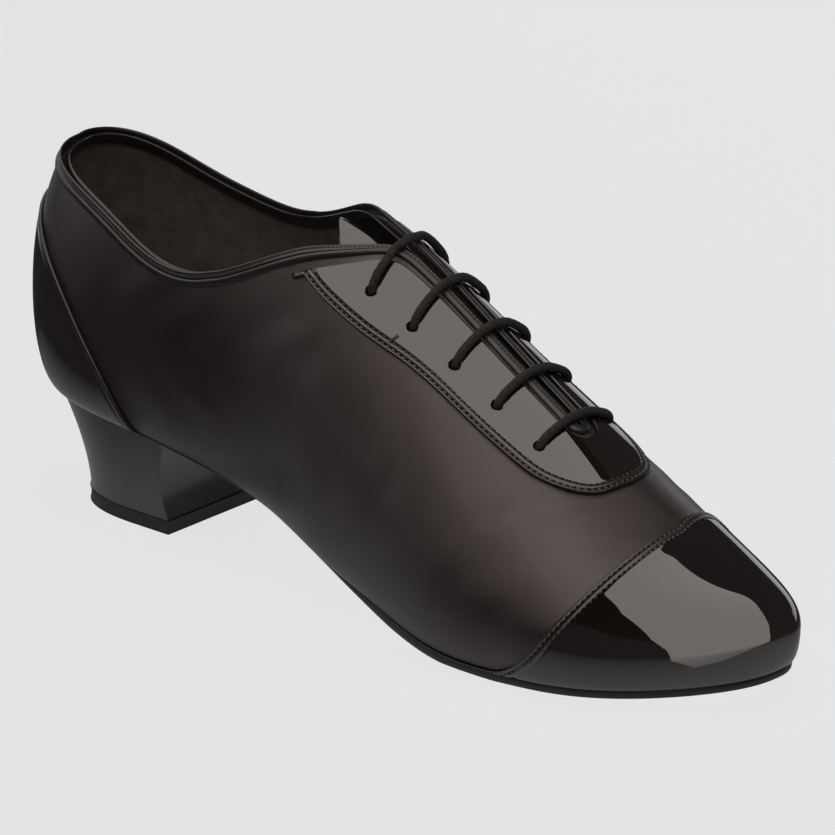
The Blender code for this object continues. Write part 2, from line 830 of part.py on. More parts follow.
def main():
    for item in list(bpy.data.objects):
        bpy.data.objects.remove(item)
    shoe = bpy.data.collections.new("ballroom_dance_shoe")
    cutters = bpy.data.collections.new("cutters")
    bpy.context.scene.collection.children.link(shoe)
    bpy.context.scene.collection.children.link(cutters)
    upper, ids = make_upper(hue("leather", (0.028, 0.023, 0.022), 0.48), shoe)
    make_toe_cap(hue("patent_toe", (0.010, 0.009, 0.009), 0.08, 1.0), shoe)
    panel = make_eyelet_panel(hue("patent_panel", (0.010, 0.009, 0.009), 0.08, 1.0), shoe)
    make_heel_counter(hue("patent_counter", (0.010, 0.009, 0.009), 0.08, 1.0), shoe)
    make_binding(upper, ids, hue("binding_leather", (0.020, 0.018, 0.017), 0.40), shoe)
    make_tongue(hue("patent_tongue", (0.010, 0.009, 0.009), 0.10, 1.0), shoe)
    make_insole(hue("insole_suede", (0.045, 0.035, 0.030), 0.85), shoe)
    make_outsole(hue("sole_suede", (0.060, 0.050, 0.045), 0.90), shoe)
    make_heel(hue("heel_cover", (0.018, 0.017, 0.017), 0.20, 0.6), shoe)
    make_top_piece(hue("rubber_top_piece", (0.016, 0.015, 0.015), 0.60), shoe)
    make_lace(hue("lace_cord", (0.030, 0.027, 0.025), 0.75), shoe)
    cut_eyelets((upper, panel), cutters)
    for item in list(shoe.objects) + list(cutters.objects):
        item.location.x -= shoe_length / 2
        item.location.y += middle_shift


main()
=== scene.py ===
import math

import bmesh
import bpy
import numpy as np
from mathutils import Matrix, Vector


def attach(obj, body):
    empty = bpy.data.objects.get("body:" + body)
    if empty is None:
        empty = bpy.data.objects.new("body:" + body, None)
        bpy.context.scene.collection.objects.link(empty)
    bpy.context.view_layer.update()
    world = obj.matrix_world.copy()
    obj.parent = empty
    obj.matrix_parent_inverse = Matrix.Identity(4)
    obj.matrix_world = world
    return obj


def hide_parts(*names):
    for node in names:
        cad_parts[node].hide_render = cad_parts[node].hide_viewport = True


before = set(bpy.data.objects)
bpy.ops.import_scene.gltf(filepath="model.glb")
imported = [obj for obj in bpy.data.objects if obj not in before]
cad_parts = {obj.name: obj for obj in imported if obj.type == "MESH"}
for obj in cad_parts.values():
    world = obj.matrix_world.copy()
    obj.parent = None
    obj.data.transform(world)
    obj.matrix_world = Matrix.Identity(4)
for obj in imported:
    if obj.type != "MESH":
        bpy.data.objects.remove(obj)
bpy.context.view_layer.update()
print("frame loaded with", len(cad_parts), "nodes")


# The last
# All sizes in metres. The last is drawn from the back of the heel at x = 0, then moved to the middle.
lastShape = {
    "length": 0.2825, "width": 0.088, "instep": 0.110, "heelLift": 0.036, "backHeight": 0.1105,
    "heelUndercut": 0.0065, "toeUndercut": 0.0025,
    "heelZone": 0.0425, "heelPower": 2.3, "toeZone": 0.0615, "toePower": 2.35,
    "heelFanLead": 0.040, "heelFanZone": 0.095, "toeFanLead": 0.022, "toeFanZone": 0.060,
    "bulgeShare": 0.3, "lowHandle": 0.55,
    "move": (-0.14125, 0.001, 0.0),
}
# along, outer, inner, feather, outer bulge, inner bulge, bulge rise, ridge, side full, top full, shift
lastRows = (
    (0.00, 0.278, 0.273, 1.000, 0.063, 0.055, 0.255, 1.200, 0.72, 0.50, 0.000),
    (0.12, 0.273, 0.273, 0.945, 0.063, 0.057, 0.245, 1.190, 0.60, 0.50, 0.000),
    (0.24, 0.273, 0.273, 0.830, 0.068, 0.068, 0.232, 1.110, 0.55, 0.50, 0.000),
    (0.36, 0.267, 0.245, 0.617, 0.068, 0.097, 0.223, 1.060, 0.52, 0.46, 0.004),
    (0.46, 0.330, 0.262, 0.390, 0.062, 0.114, 0.200, 0.997, 0.46, 0.43, 0.012),
    (0.56, 0.404, 0.364, 0.225, 0.045, 0.074, 0.164, 0.853, 0.42, 0.44, 0.018),
    (0.66, 0.468, 0.450, 0.098, 0.040, 0.034, 0.127, 0.682, 0.42, 0.47, 0.026),
    (0.76, 0.471, 0.452, 0.098, 0.036, 0.028, 0.109, 0.516, 0.46, 0.50, 0.032),
    (0.86, 0.440, 0.376, 0.155, 0.032, 0.020, 0.095, 0.358, 0.52, 0.56, 0.034),
    (1.00, 0.335, 0.248, 0.295, 0.028, 0.012, 0.090, 0.236, 0.56, 0.60, 0.036),
)
# along, height of the collar on the outer and on the inner side, as shares of backHeight
collarRows = (
    (0.00, 1.000, 1.000), (0.06, 0.945, 0.955), (0.13, 0.885, 0.887), (0.20, 0.803, 0.847),
    (0.27, 0.770, 0.834), (0.34, 0.825, 0.882), (0.41, 0.904, 0.966), (0.47, 0.942, 1.020),
    (0.55, 0.990, 1.070),
)


def splineThrough(knots, values):
    knots = np.asarray(knots, float)
    values = np.asarray(values, float)
    count = len(knots)
    step = np.diff(knots)
    matrix = np.zeros((count, count))
    right = np.zeros(count)
    matrix[0, 0] = matrix[-1, -1] = 1.0
    slopes = np.diff(values) / step
    for i in range(1, count - 1):
        matrix[i, i - 1:i + 2] = step[i - 1], 2 * (step[i - 1] + step[i]), step[i]
        right[i] = 6 * (slopes[i] - slopes[i - 1])
    bend = np.linalg.solve(matrix, right)

    def valueAt(x):
        x = np.asarray(x, float)
        i = np.clip(np.searchsorted(knots, x) - 1, 0, count - 2)
        a = (knots[i + 1] - x) / step[i]
        b = (x - knots[i]) / step[i]
        curved = (a ** 3 - a) * bend[i] + (b ** 3 - b) * bend[i + 1]
        return a * values[i] + b * values[i + 1] + curved * step[i] ** 2 / 6

    return valueAt


def ease(x, start, full):
    share = np.clip((x - start) / (full - start), 0, 1)
    return share * share * (3 - 2 * share)


lastTable = np.array(lastRows)
shareOf = [lastShape["width"], lastShape["width"], lastShape["heelLift"], lastShape["width"],
           lastShape["width"], lastShape["instep"], lastShape["instep"], 1, 1, lastShape["width"]]
lastCurves = [splineThrough(lastTable[:, 0], lastTable[:, k + 1] * shareOf[k]) for k in range(10)]
collarTable = np.array(collarRows)
collarCurves = {side: splineThrough(collarTable[:, 0], collarTable[:, k] * lastShape["backHeight"])
                for side, k in ((-1, 1), (1, 2))}


def endRounding(along):
    heel = np.clip(1 - along * lastShape["length"] / lastShape["heelZone"], 0, 1)
    toe = np.clip(1 - (1 - along) * lastShape["length"] / lastShape["toeZone"], 0, 1)
    return ((1 - heel ** lastShape["heelPower"]) ** (1 / lastShape["heelPower"])
            * (1 - toe ** lastShape["toePower"]) ** (1 / lastShape["toePower"]))


def featherX(along):
    return lastShape["heelUndercut"] + along * (
        lastShape["length"] - lastShape["heelUndercut"] - lastShape["toeUndercut"])


def ridgeX(along):
    x = along * lastShape["length"]
    x = x + lastShape["heelFanLead"] * np.clip(1 - x / lastShape["heelFanZone"], 0, 1) ** 2
    toe = np.clip(1 - (lastShape["length"] - x) / lastShape["toeFanZone"], 0, 1)
    return x - lastShape["toeFanLead"] * toe ** 2


def bezier(a, b, c, d, s):
    return (1 - s) ** 3 * a + 3 * (1 - s) ** 2 * s * b + 3 * (1 - s) * s * s * c + s ** 3 * d


# A place on the last: along 0 heel to 1 toe, side -1 outer or 1 inner, rise 0 sole edge to 1 ridge
def lastPoint(along, side, rise):
    along, rise = np.broadcast_arrays(np.asarray(along, float), np.asarray(rise, float))
    pick = 0 if side < 0 else 1
    rounding = endRounding(along)
    half = lastCurves[pick](along)
    bulge = lastCurves[pick + 3](along)
    footZ = lastCurves[2](along)
    topX = ridgeX(along)
    topY = lastCurves[9](topX / lastShape["length"])
    topZ = lastCurves[6](topX / lastShape["length"])
    foot = np.stack([featherX(along), side * half * rounding, footZ], -1)
    swell = np.stack([along * lastShape["length"], side * (half + bulge) * rounding,
                      footZ + lastCurves[5](along)], -1)
    top = np.stack([topX, topY, topZ], -1)
    flat = np.array([1.0, 1.0, 0.0])
    up = np.array([0.0, 0.0, 1.0])
    low = swell - foot
    high = top - swell
    lowShare = np.clip(rise / lastShape["bulgeShare"], 0, 1)[..., None]
    highShare = np.clip((rise - lastShape["bulgeShare"]) / (1 - lastShape["bulgeShare"]), 0, 1)[..., None]
    below = bezier(foot, foot + low * flat * lastShape["lowHandle"],
                   swell - low * up * lastShape["lowHandle"], swell, lowShare)
    above = bezier(swell, swell + high * up * lastCurves[7](along)[..., None],
                   top - high * flat * lastCurves[8](along)[..., None], top, highShare)
    return np.where((rise < lastShape["bulgeShare"])[..., None], below, above)


def unit(vectors):
    length = np.linalg.norm(vectors, axis=-1, keepdims=True)
    return vectors / np.maximum(length, 1e-12)


# Distance run along a line of points, and the places at given distances
def runAlong(points):
    return np.concatenate([[0], np.cumsum(np.linalg.norm(np.diff(points, axis=0), axis=1))])


def placesAt(at, run, points):
    return np.stack([np.interp(at, run, points[:, k]) for k in range(points.shape[1])], -1)


def lastNormal(along, side, rise):
    step = 1e-4
    forward = (lastPoint(np.clip(along + step, 0, 1), side, rise)
               - lastPoint(np.clip(along - step, 0, 1), side, rise))
    upward = (lastPoint(along, side, np.clip(rise + step, 0, 1))
              - lastPoint(along, side, np.clip(rise - step, 0, 1)))
    return unit(np.cross(forward, upward) * -side)


throat = {"halfWidth": 0.0034, "endHalfWidth": 0.0030, "start": 0.1370, "end": 0.2060,
          "reach": 0.050, "cornerRound": 0.0085}
riseSamples = np.linspace(0.3, 1.0, 561)


def throatHalf(x, inset):
    end = throat["end"] + inset
    share = np.clip((x - throat["start"]) / (throat["end"] - throat["start"]), 0, 1)
    half = throat["halfWidth"] + (throat["endHalfWidth"] - throat["halfWidth"]) * share + inset
    roundPart = np.clip((x - (end - half)) / half, 0, 1)
    return half * np.sqrt(1 - roundPart ** 2)


# Rise at which a rib meets the collar or the throat, inset below that edge
def edgeRise(along, side, inset=0.0):
    side = -1 if along == 0 else side
    if ridgeX(along) >= throat["end"] + inset - 1e-5:
        return 1.0
    points = lastPoint(along, side, riseSamples)
    x = points[:, 0]
    belowCollar = collarCurves[side](x / lastShape["length"]) - inset - points[:, 2]
    middle = lastCurves[9](x / lastShape["length"])
    besideThroat = np.abs(points[:, 1] - middle) - throatHalf(x, inset)
    besideThroat = np.where(x < throat["start"] - throat["reach"], 1.0, besideThroat)
    spread = belowCollar - besideThroat
    inside = 0.5 * (belowCollar + besideThroat
                    - np.sqrt(spread ** 2 + throat["cornerRound"] ** 2 / 4))
    outside = np.nonzero(inside <= 0)[0]
    if len(outside) == 0:
        return 1.0
    k = max(outside[0], 1)
    share = inside[k - 1] / (inside[k - 1] - inside[k])
    return riseSamples[k - 1] + share * (riseSamples[k] - riseSamples[k - 1])


def edgeRises(alongs, side, inset=0.0):
    return np.array([edgeRise(a, side, inset) for a in alongs])


def evenAlongs(count):
    angle = np.linspace(0, math.pi, 4001)
    along = (1 - np.cos(angle)) / 2
    y = lastCurves[0](along) * endRounding(along)
    run = np.concatenate([[0], np.cumsum(np.hypot(np.diff(featherX(along)), np.diff(y)))])
    return np.interp(np.linspace(0, run[-1], count), run, along)


def alongAt(x):
    grid = np.linspace(0, 1, 4001)
    return np.interp(x, ridgeX(grid), grid)


# How far the binding reaches down: wide round the collar, narrow along the throat
bindingWidth = {"collar": 0.0036, "throat": 0.0022, "narrowsFrom": 0.115}


def bindingLeg(along):
    share = np.clip((ridgeX(along) - bindingWidth["narrowsFrom"])
                    / (throat["start"] - bindingWidth["narrowsFrom"]), 0, 1)
    return bindingWidth["collar"] + (bindingWidth["throat"] - bindingWidth["collar"]) * share


# Mesh making
def pieceFrom(name, verts, faces, materials, faceMaterials=None, moved=True):
    mesh = bpy.data.meshes.new(name)
    verts = np.asarray(verts, float)
    if moved:
        verts = verts + np.array(lastShape["move"])
    mesh.from_pydata(verts.tolist(), [], faces)
    for material in materials:
        mesh.materials.append(material)
    if faceMaterials is not None:
        mesh.polygons.foreach_set("material_index", faceMaterials)
    work = bmesh.new()
    work.from_mesh(mesh)
    bmesh.ops.remove_doubles(work, verts=work.verts, dist=2e-6)
    bmesh.ops.dissolve_degenerate(work, edges=work.edges, dist=1e-6)
    work.to_mesh(mesh)
    work.free()
    mesh.shade_smooth()
    piece = bpy.data.objects.new(name, mesh)
    bpy.context.scene.collection.objects.link(piece)
    return piece


def gridFaces(rows, cols, start=0, flip=False, closed=False):
    index = start + np.arange(rows * cols).reshape(rows, cols)
    if closed:
        index = np.concatenate([index, index[:, :1]], 1)
    quads = np.stack([index[:-1, :-1], index[1:, :-1], index[1:, 1:], index[:-1, 1:]], -1).reshape(-1, 4)
    return (quads[:, ::-1] if flip else quads).tolist()


# A tube of rings with both of its ends closed
def tubeFaces(rows, sides, start=0, flip=True):
    first = list(range(start, start + sides))
    last = [index + (rows - 1) * sides for index in first]
    ends = [first, last[::-1]] if flip else [first[::-1], last]
    return gridFaces(rows, sides, start, flip, True) + ends


def gridPiece(name, grids, materials, thickness, flip=False, liningSlot=0, edgeColumns=0):
    verts = []
    faces = []
    slots = []
    for grid in grids:
        rows, cols = grid.shape[:2]
        faces += gridFaces(rows, cols, len(verts), flip)
        verts += grid.reshape(-1, 3).tolist()
        slots += [1 if k < edgeColumns else 0 for k in range(cols - 1)] * (rows - 1)
    piece = pieceFrom(name, verts, faces, materials, slots)
    if thickness:
        wall = piece.modifiers.new("wall", "SOLIDIFY")
        wall.thickness = thickness
        wall.offset = -1.0
        wall.material_offset = liningSlot
    return piece


def tubeRings(path, radius, sides, ripple=None):
    path = np.asarray(path, float)
    tangent = unit(np.gradient(path, axis=0))
    normal = np.zeros_like(path)
    normal[0] = unit(np.cross(tangent[0], [0.3, 0.2, 0.9]))
    for k in range(1, len(path)):
        carried = normal[k - 1] - tangent[k] * np.dot(normal[k - 1], tangent[k])
        normal[k] = unit(carried)
    other = np.cross(tangent, normal)
    angle = np.linspace(0, 2 * math.pi, sides, endpoint=False)
    run = runAlong(path)
    size = radius * np.ones((len(path), sides))
    if ripple:
        size = size * ripple(run[:, None], angle[None, :])
    spoke = np.cos(angle)[None, :, None] * normal[:, None] + np.sin(angle)[None, :, None] * other[:, None]
    return path[:, None] + spoke * size[..., None]


def tubePiece(name, path, radius, sides, material, ripple=None):
    rings = tubeRings(path, radius, sides, ripple)
    return pieceFrom(name, rings.reshape(-1, 3), tubeFaces(len(rings), sides), [material])


def pathThrough(points, spacing):
    points = np.asarray(points, float)
    run = runAlong(points)
    count = max(2, int(round(run[-1] / spacing)) + 1)
    at = np.linspace(0, run[-1], count)
    return placesAt(at, run, points)


# One stitch is a small pill lying along the seam, with a needle hole at each end drawn as a small dark disc
# of painted shade. The pill's rings have a place from -1 to 1 and a share of its width; the hole's rings have
# a share of its size and a height
pill = {"sides": 8, "endDip": 0.00012, "rings": ((-1.0, 0.05), (-0.8, 0.62), (-0.35, 1.0), (0.35, 1.0),
                                                 (0.8, 0.62), (1.0, 0.05))}
holeShadeDisc = {"squash": 0.9, "rings": ((1.0, -0.0002), (0.9, 0.00004), (0.35, 0.0001))}


def stitchRow(name, places, normals, stitch, materials):
    path = np.asarray(places, float)
    run = runAlong(path)
    count = max(1, int(run[-1] / stitch["pitch"]))
    at = (np.arange(2 * count + 1)) * run[-1] / (2 * count)
    spots = placesAt(at, run, path)
    ups = unit(placesAt(at, run, normals))
    ahead = unit(placesAt(at, run, np.gradient(path, run, axis=0)))
    sideways = unit(np.cross(ups, ahead))
    turn = math.radians(stitch["slant"])
    lies = ahead * math.cos(turn) + sideways * math.sin(turn)
    asides = sideways * math.cos(turn) - ahead * math.sin(turn)
    ring = np.linspace(0, 2 * math.pi, pill["sides"], endpoint=False)
    verts = []
    faces = []
    slots = []
    for k, (spot, up, lie, aside) in enumerate(zip(spots, ups, lies, asides)):
        base = len(verts)
        if k % 2:
            for stop, full in pill["rings"]:
                for angle in ring:
                    high = math.sin(angle) * full * stitch["height"] - stop * stop * pill["endDip"]
                    verts.append(spot + lie * stop * stitch["length"] / 2
                                 + aside * math.cos(angle) * full * stitch["width"] / 2 + up * high)
            faces += tubeFaces(len(pill["rings"]), pill["sides"], base)
            slots += [0] * (len(faces) - len(slots))
        elif stitch["hole"]:
            # a small dark disc laid on the leather: painted shade for the needle hole, nothing is cut
            for size, high in holeShadeDisc["rings"]:
                for angle in ring:
                    spoke = lie * math.cos(angle) * holeShadeDisc["squash"] + aside * math.sin(angle)
                    verts.append(spot + spoke * size * stitch["hole"] + up * high)
            faces += tubeFaces(len(holeShadeDisc["rings"]), pill["sides"], base, False)
            slots += [1] * (len(faces) - len(slots))
    return pieceFrom(name, verts, faces, materials, slots)


# Sews one row over paths that follow each other, and keeps it with the other threads
def sewRow(name, parts, stitch, materials):
    path, ups = (np.concatenate(lines) for lines in zip(*parts))
    threads.append(stitchRow(name, path, ups, stitch, materials))


# Lines of the inner side run backwards, so that both sides make one sheet or one path
def turned(side, lines):
    return lines if side < 0 else lines[::-1]


# Materials
def newMaterial(name, colour, roughness, coat=0.0, coatRoughness=0.03, specular=0.5):
    material = bpy.data.materials.new(name)
    material.use_nodes = True
    shader = material.node_tree.nodes["Principled BSDF"]
    shader.inputs["Base Color"].default_value = (*colour, 1)
    shader.inputs["Roughness"].default_value = roughness
    shader.inputs["Specular IOR Level"].default_value = specular
    shader.inputs["Coat Weight"].default_value = coat
    shader.inputs["Coat Roughness"].default_value = coatRoughness
    shader.inputs["Coat IOR"].default_value = 2.1     # a hard lacquer, which mirrors evenly from all sides
    return material, shader


def link(material, source, target):
    material.node_tree.links.new(source, target)


# A setting of the node's own, a number for one of its inputs, or another node's output to feed it
def addNode(material, kind, **settings):
    node = material.node_tree.nodes.new(kind)
    for name, value in settings.items():
        if hasattr(node, name):
            setattr(node, name, value)
        elif isinstance(value, bpy.types.NodeSocket):
            link(material, value, node.inputs[name.replace("_", " ")])
        else:
            node.inputs[name.replace("_", " ")].default_value = value
    return node


# Both textures lie in the piece's own coordinates and give their height or distance
def noiseAt(material, scale, detail=2.0, roughness=0.5, stretch=(1, 1, 1)):
    place = addNode(material, "ShaderNodeTexCoord").outputs["Object"]
    mapping = addNode(material, "ShaderNodeMapping", Vector=place, Scale=stretch)
    noise = addNode(material, "ShaderNodeTexNoise", Vector=mapping.outputs["Vector"], Scale=scale,
                    Detail=detail, Roughness=roughness)
    return noise.outputs["Fac"]


def cellsAt(material, scale, warp):
    place = addNode(material, "ShaderNodeTexCoord").outputs["Object"]
    noise = addNode(material, "ShaderNodeTexNoise", Vector=place, Scale=scale * 0.45, Detail=2.0)
    warped = addNode(material, "ShaderNodeMixRGB", blend_type="LINEAR_LIGHT", Fac=warp, Color1=place,
                     Color2=noise.outputs["Color"])
    cells = addNode(material, "ShaderNodeTexVoronoi", Vector=warped.outputs["Color"], Scale=scale)
    return cells.outputs["Distance"]


def spreadOf(material, value, low, high, fromLow=0.0, fromHigh=1.0):
    ranged = addNode(material, "ShaderNodeMapRange", Value=value, From_Min=fromLow, From_Max=fromHigh,
                     To_Min=low, To_Max=high)
    return ranged.outputs["Result"]


def blendColour(material, value, dark, light):
    ramp = addNode(material, "ShaderNodeValToRGB", Fac=value)
    for stop, position, colour in zip(ramp.color_ramp.elements, (0.34, 0.66), (dark, light)):
        stop.position = position
        stop.color = (*colour, 1)
    return ramp.outputs["Color"]


def addBump(material, shader, layers):
    before = {}
    for value, distance, strength in layers:
        bump = addNode(material, "ShaderNodeBump", Height=value, Distance=distance, Strength=strength,
                       **before)
        before = {"Normal": bump.outputs["Normal"]}
    link(material, before["Normal"], shader.inputs["Normal"])


satin = {"dark": (0.0080, 0.0056, 0.0051), "light": (0.0128, 0.0094, 0.0088), "roughness": (0.18, 0.25),
         "specular": 0.75, "ior": 1.6}
satinLeather, shader = newMaterial("satinLeather", satin["light"], 0.45, 0.0, specular=satin["specular"])
shader.inputs["Specular Tint"].default_value = (1.0, 0.88, 0.86, 1)
shader.inputs["IOR"].default_value = satin["ior"]
tone = blendColour(satinLeather, noiseAt(satinLeather, 38, 4.0), satin["dark"], satin["light"])
link(satinLeather, tone, shader.inputs["Base Color"])
pores = cellsAt(satinLeather, 850, 0.12)
link(satinLeather, spreadOf(satinLeather, pores, *satin["roughness"]), shader.inputs["Roughness"])
addBump(satinLeather, shader, [
    (noiseAt(satinLeather, 120, 3.0), 0.0008, 0.12),
    (noiseAt(satinLeather, 420, 2.0, 0.6, (1, 0.35, 1)), 0.0004, 0.12),
    (pores, 0.0006, 0.25),
    (noiseAt(satinLeather, 2600, 2.0), 0.0002, 0.25),
])

patent = {"colour": (0.0100, 0.0075, 0.0068), "roughness": 0.30, "coat": 1.0, "coatRoughness": 0.012}


def patentLeather(name):
    material, shader = newMaterial(name, patent["colour"], patent["roughness"], patent["coat"],
                                   patent["coatRoughness"], 0.0)
    addBump(material, shader, [(noiseAt(material, 60, 2.0), 0.0005, 0.035),
                               (noiseAt(material, 420, 2.0), 0.0001, 0.03)])
    waviness = addNode(material, "ShaderNodeBump", Height=noiseAt(material, 48, 2.0), Distance=0.0006,
                       Strength=0.035)
    link(material, waviness.outputs["Normal"], shader.inputs["Coat Normal"])
    return material


patentToe = patentLeather("patentToe")
patentPanel = patentLeather("patentPanel")
patentCounter = patentLeather("patentCounter")
patentTongue = patentLeather("patentTongue")

foldedEdge, shader = newMaterial("foldedEdge", (0.0120, 0.0090, 0.0082), 0.34, 0.30, 0.10, 0.8)
addBump(foldedEdge, shader, [(noiseAt(foldedEdge, 500, 3.0), 0.0003, 0.18),
                             (noiseAt(foldedEdge, 1600, 2.0), 0.0002, 0.20)])

bindingLeather, shader = newMaterial("bindingLeather", (0.0105, 0.0080, 0.0073), 0.34, 0.20, 0.10, 0.6)
addBump(bindingLeather, shader, [(noiseAt(bindingLeather, 240, 3.0), 0.0004, 0.12),
                                 (cellsAt(bindingLeather, 1500, 0.1), 0.0001, 0.25)])

liningSuede, shader = newMaterial("liningSuede", (0.048, 0.041, 0.036), 0.92, specular=0.5)
place = addNode(liningSuede, "ShaderNodeTexCoord").outputs["Object"]
apart = addNode(liningSuede, "ShaderNodeSeparateXYZ", Vector=place)
# the suede heel grip ends and the smooth quarter lining starts across the foot at this x
gripEnd = spreadOf(liningSuede, apart.outputs["X"], 0.0, 1.0, -0.0335, -0.0331)
suedeTone = blendColour(liningSuede, noiseAt(liningSuede, 240, 5.0), (0.066, 0.056, 0.049),
                        (0.100, 0.087, 0.077))
mixed = addNode(liningSuede, "ShaderNodeMixRGB", Fac=gripEnd, Color1=suedeTone,
                Color2=(0.0100, 0.0085, 0.0082, 1))
link(liningSuede, mixed.outputs["Color"], shader.inputs["Base Color"])
link(liningSuede, spreadOf(liningSuede, gripEnd, 0.92, 0.42), shader.inputs["Roughness"])
addBump(liningSuede, shader, [(noiseAt(liningSuede, 1500, 4.0, 0.7), 0.0003, 0.6)])

sockSuede, shader = newMaterial("sockSuede", (0.050, 0.041, 0.036), 0.9, specular=0.4)
link(sockSuede, blendColour(sockSuede, noiseAt(sockSuede, 200, 5.0), (0.055, 0.046, 0.041),
                            (0.086, 0.073, 0.065)), shader.inputs["Base Color"])
addBump(sockSuede, shader, [(noiseAt(sockSuede, 1400, 4.0, 0.7), 0.0003, 0.6)])

soleEdge, shader = newMaterial("soleEdge", (0.0080, 0.0064, 0.0060), 0.46, 0.05, 0.3, 0.6)
addBump(soleEdge, shader, [(noiseAt(soleEdge, 300, 3.0, 0.6, (1, 1, 5)), 0.0005, 0.35)])

soleSuede, shader = newMaterial("soleSuede", (0.10, 0.09, 0.08), 0.95, specular=0.2)
link(soleSuede, blendColour(soleSuede, noiseAt(soleSuede, 70, 6.0, 0.65), (0.050, 0.045, 0.040),
                            (0.105, 0.096, 0.086)), shader.inputs["Base Color"])
addBump(soleSuede, shader, [(noiseAt(soleSuede, 900, 5.0, 0.75), 0.0005, 0.8)])

heelCover, shader = newMaterial("heelCover", (0.0150, 0.0120, 0.0120), 0.30, 0.30, 0.10, 0.8)
addBump(heelCover, shader, [(noiseAt(heelCover, 34, 2.0), 0.0008, 0.05),
                            (cellsAt(heelCover, 1300, 0.1), 0.00008, 0.12)])

toughRubber, shader = newMaterial("toughRubber", (0.0120, 0.0098, 0.0095), 0.62, specular=0.5)
wear = spreadOf(toughRubber, noiseAt(toughRubber, 220, 3.0), 0.5, 0.72)
link(toughRubber, wear, shader.inputs["Roughness"])
addBump(toughRubber, shader, [(noiseAt(toughRubber, 700, 3.0), 0.0003, 0.35)])

cordCotton, shader = newMaterial("cordCotton", (0.017, 0.0145, 0.013), 0.82, specular=0.35)
link(cordCotton, blendColour(cordCotton, noiseAt(cordCotton, 900, 3.0), (0.0110, 0.0092, 0.0082),
                             (0.0250, 0.0215, 0.0195)), shader.inputs["Base Color"])
addBump(cordCotton, shader, [(noiseAt(cordCotton, 3500, 2.0), 0.0001, 0.6)])

# a grey-brown thread made lighter than the dark thread: partly thread colour, partly painted highlight for
# stitches catching the light
threadWithPaintedHighlight, shader = newMaterial("threadWithPaintedHighlight", (0.044, 0.036, 0.032), 0.36, specular=1.0)
addBump(threadWithPaintedHighlight, shader, [(noiseAt(threadWithPaintedHighlight, 5000, 2.0), 0.0001, 0.4)])
darkThread, shader = newMaterial("darkThread", (0.0120, 0.0095, 0.0088), 0.5, specular=0.7)
addBump(darkThread, shader, [(noiseAt(darkThread, 5000, 2.0), 0.0001, 0.4)])
# near-black colour for the needle holes: painted shade where the hole would be
paintedHoleShade, shader = newMaterial("paintedHoleShade", (0.0050, 0.0040, 0.0036), 0.8, specular=0.2)
addBump(paintedHoleShade, shader, [(noiseAt(paintedHoleShade, 4000, 2.0), 0.0001, 0.4)])
print("materials made")


# Upper: satin vamp and quarters in one sheet, with the lining on its inside
upperSheet = {"wall": 0.0018, "stations": 250, "rows": 78, "creaseFade": (0.02, 0.12, 0.97, 1.0)}
# softly walked-in creases over the vamp: along and rise of each end, side, half width, depth
softCreases = (
    (0.742, 0.70, 0.775, 0.905, -1, 0.0027, 0.00024), (0.762, 0.66, 0.795, 0.80, -1, 0.0024, 0.00020),
    (0.800, 0.78, 0.838, 0.93, -1, 0.0023, 0.00018), (0.815, 0.70, 0.843, 0.82, -1, 0.0021, 0.00018),
    (0.700, 0.56, 0.735, 0.70, -1, 0.0032, 0.00024), (0.742, 0.70, 0.780, 0.90, 1, 0.0027, 0.00024),
    (0.765, 0.62, 0.800, 0.78, 1, 0.0025, 0.00018), (0.700, 0.52, 0.735, 0.66, 1, 0.0032, 0.00024),
    (0.560, 0.40, 0.600, 0.56, -1, 0.0050, 0.00012), (0.560, 0.40, 0.600, 0.56, 1, 0.0050, 0.00012),
)


# the ridge that leather throws up beside a crease, and the faint waves of the whole sheet
creaseRidge = {"share": 0.45, "away": 1.7}
sheetWaves = {"depth": 0.00010, "along": 250, "up": 120, "swing": 3, "across": 140, "skew": 60, "start": 1.3}


def creaseDepth(points, side):
    depth = np.zeros(points.shape[:-1])
    for a0, r0, a1, r1, onSide, width, deep in softCreases:
        if onSide != side:
            continue
        start = lastPoint(a0, side, r0)
        run = lastPoint(a1, side, r1) - start
        share = np.clip(((points - start) @ run) / (run @ run), 0, 1)
        away = np.linalg.norm(points - start - share[..., None] * run, axis=-1)
        depth -= deep * np.exp(-(away / width) ** 2) * np.sin(math.pi * np.clip(share, 0.03, 0.97))
        beside = np.exp(-((away - creaseRidge["away"] * width) / width) ** 2)
        depth += creaseRidge["share"] * deep * beside * np.sin(math.pi * share)
    x, y, z = np.moveaxis(points, -1, 0)
    wave = (np.sin(x * sheetWaves["along"] + sheetWaves["swing"] * np.sin(z * sheetWaves["up"]))
            * np.sin(y * sheetWaves["across"] + x * sheetWaves["skew"] + sheetWaves["start"]))
    return depth + sheetWaves["depth"] * wave


roundAngles = np.radians(np.linspace(0, 90, 13))
throatRound = alongAt(throat["end"] - throat["endHalfWidth"] * (1 - np.sin(roundAngles)))
upperAlongs = evenAlongs(upperSheet["stations"])
nearRound = np.abs(upperAlongs[:, None] - throatRound[None, :]).min(1) < 0.0008
upperAlongs = np.sort(np.concatenate([upperAlongs[~nearRound], throatRound]))
upperShares = np.linspace(0, 1, upperSheet["rows"])
upperGrids = []
for side in (-1, 1):
    rises = edgeRises(upperAlongs, side)[:, None] * upperShares[None, :]
    alongs = np.repeat(upperAlongs[:, None], len(upperShares), 1)
    points = lastPoint(alongs, side, rises)
    normals = lastNormal(alongs, side, rises)
    fade = ease(rises, *upperSheet["creaseFade"][:2]) * (1 - ease(rises, *upperSheet["creaseFade"][2:]))
    points = points + normals * (creaseDepth(points, side) * fade)[..., None]
    upperGrids.append(turned(side, points))
shared = 0.5 * (upperGrids[0][[0, -1]] + upperGrids[1][[-1, 0]])
upperGrids[0][[0, -1]] = shared
upperGrids[1][[-1, 0]] = shared
upper = gridPiece("upperLeather", upperGrids, [satinLeather, liningSuede], upperSheet["wall"], False, 1)
print("upper made")


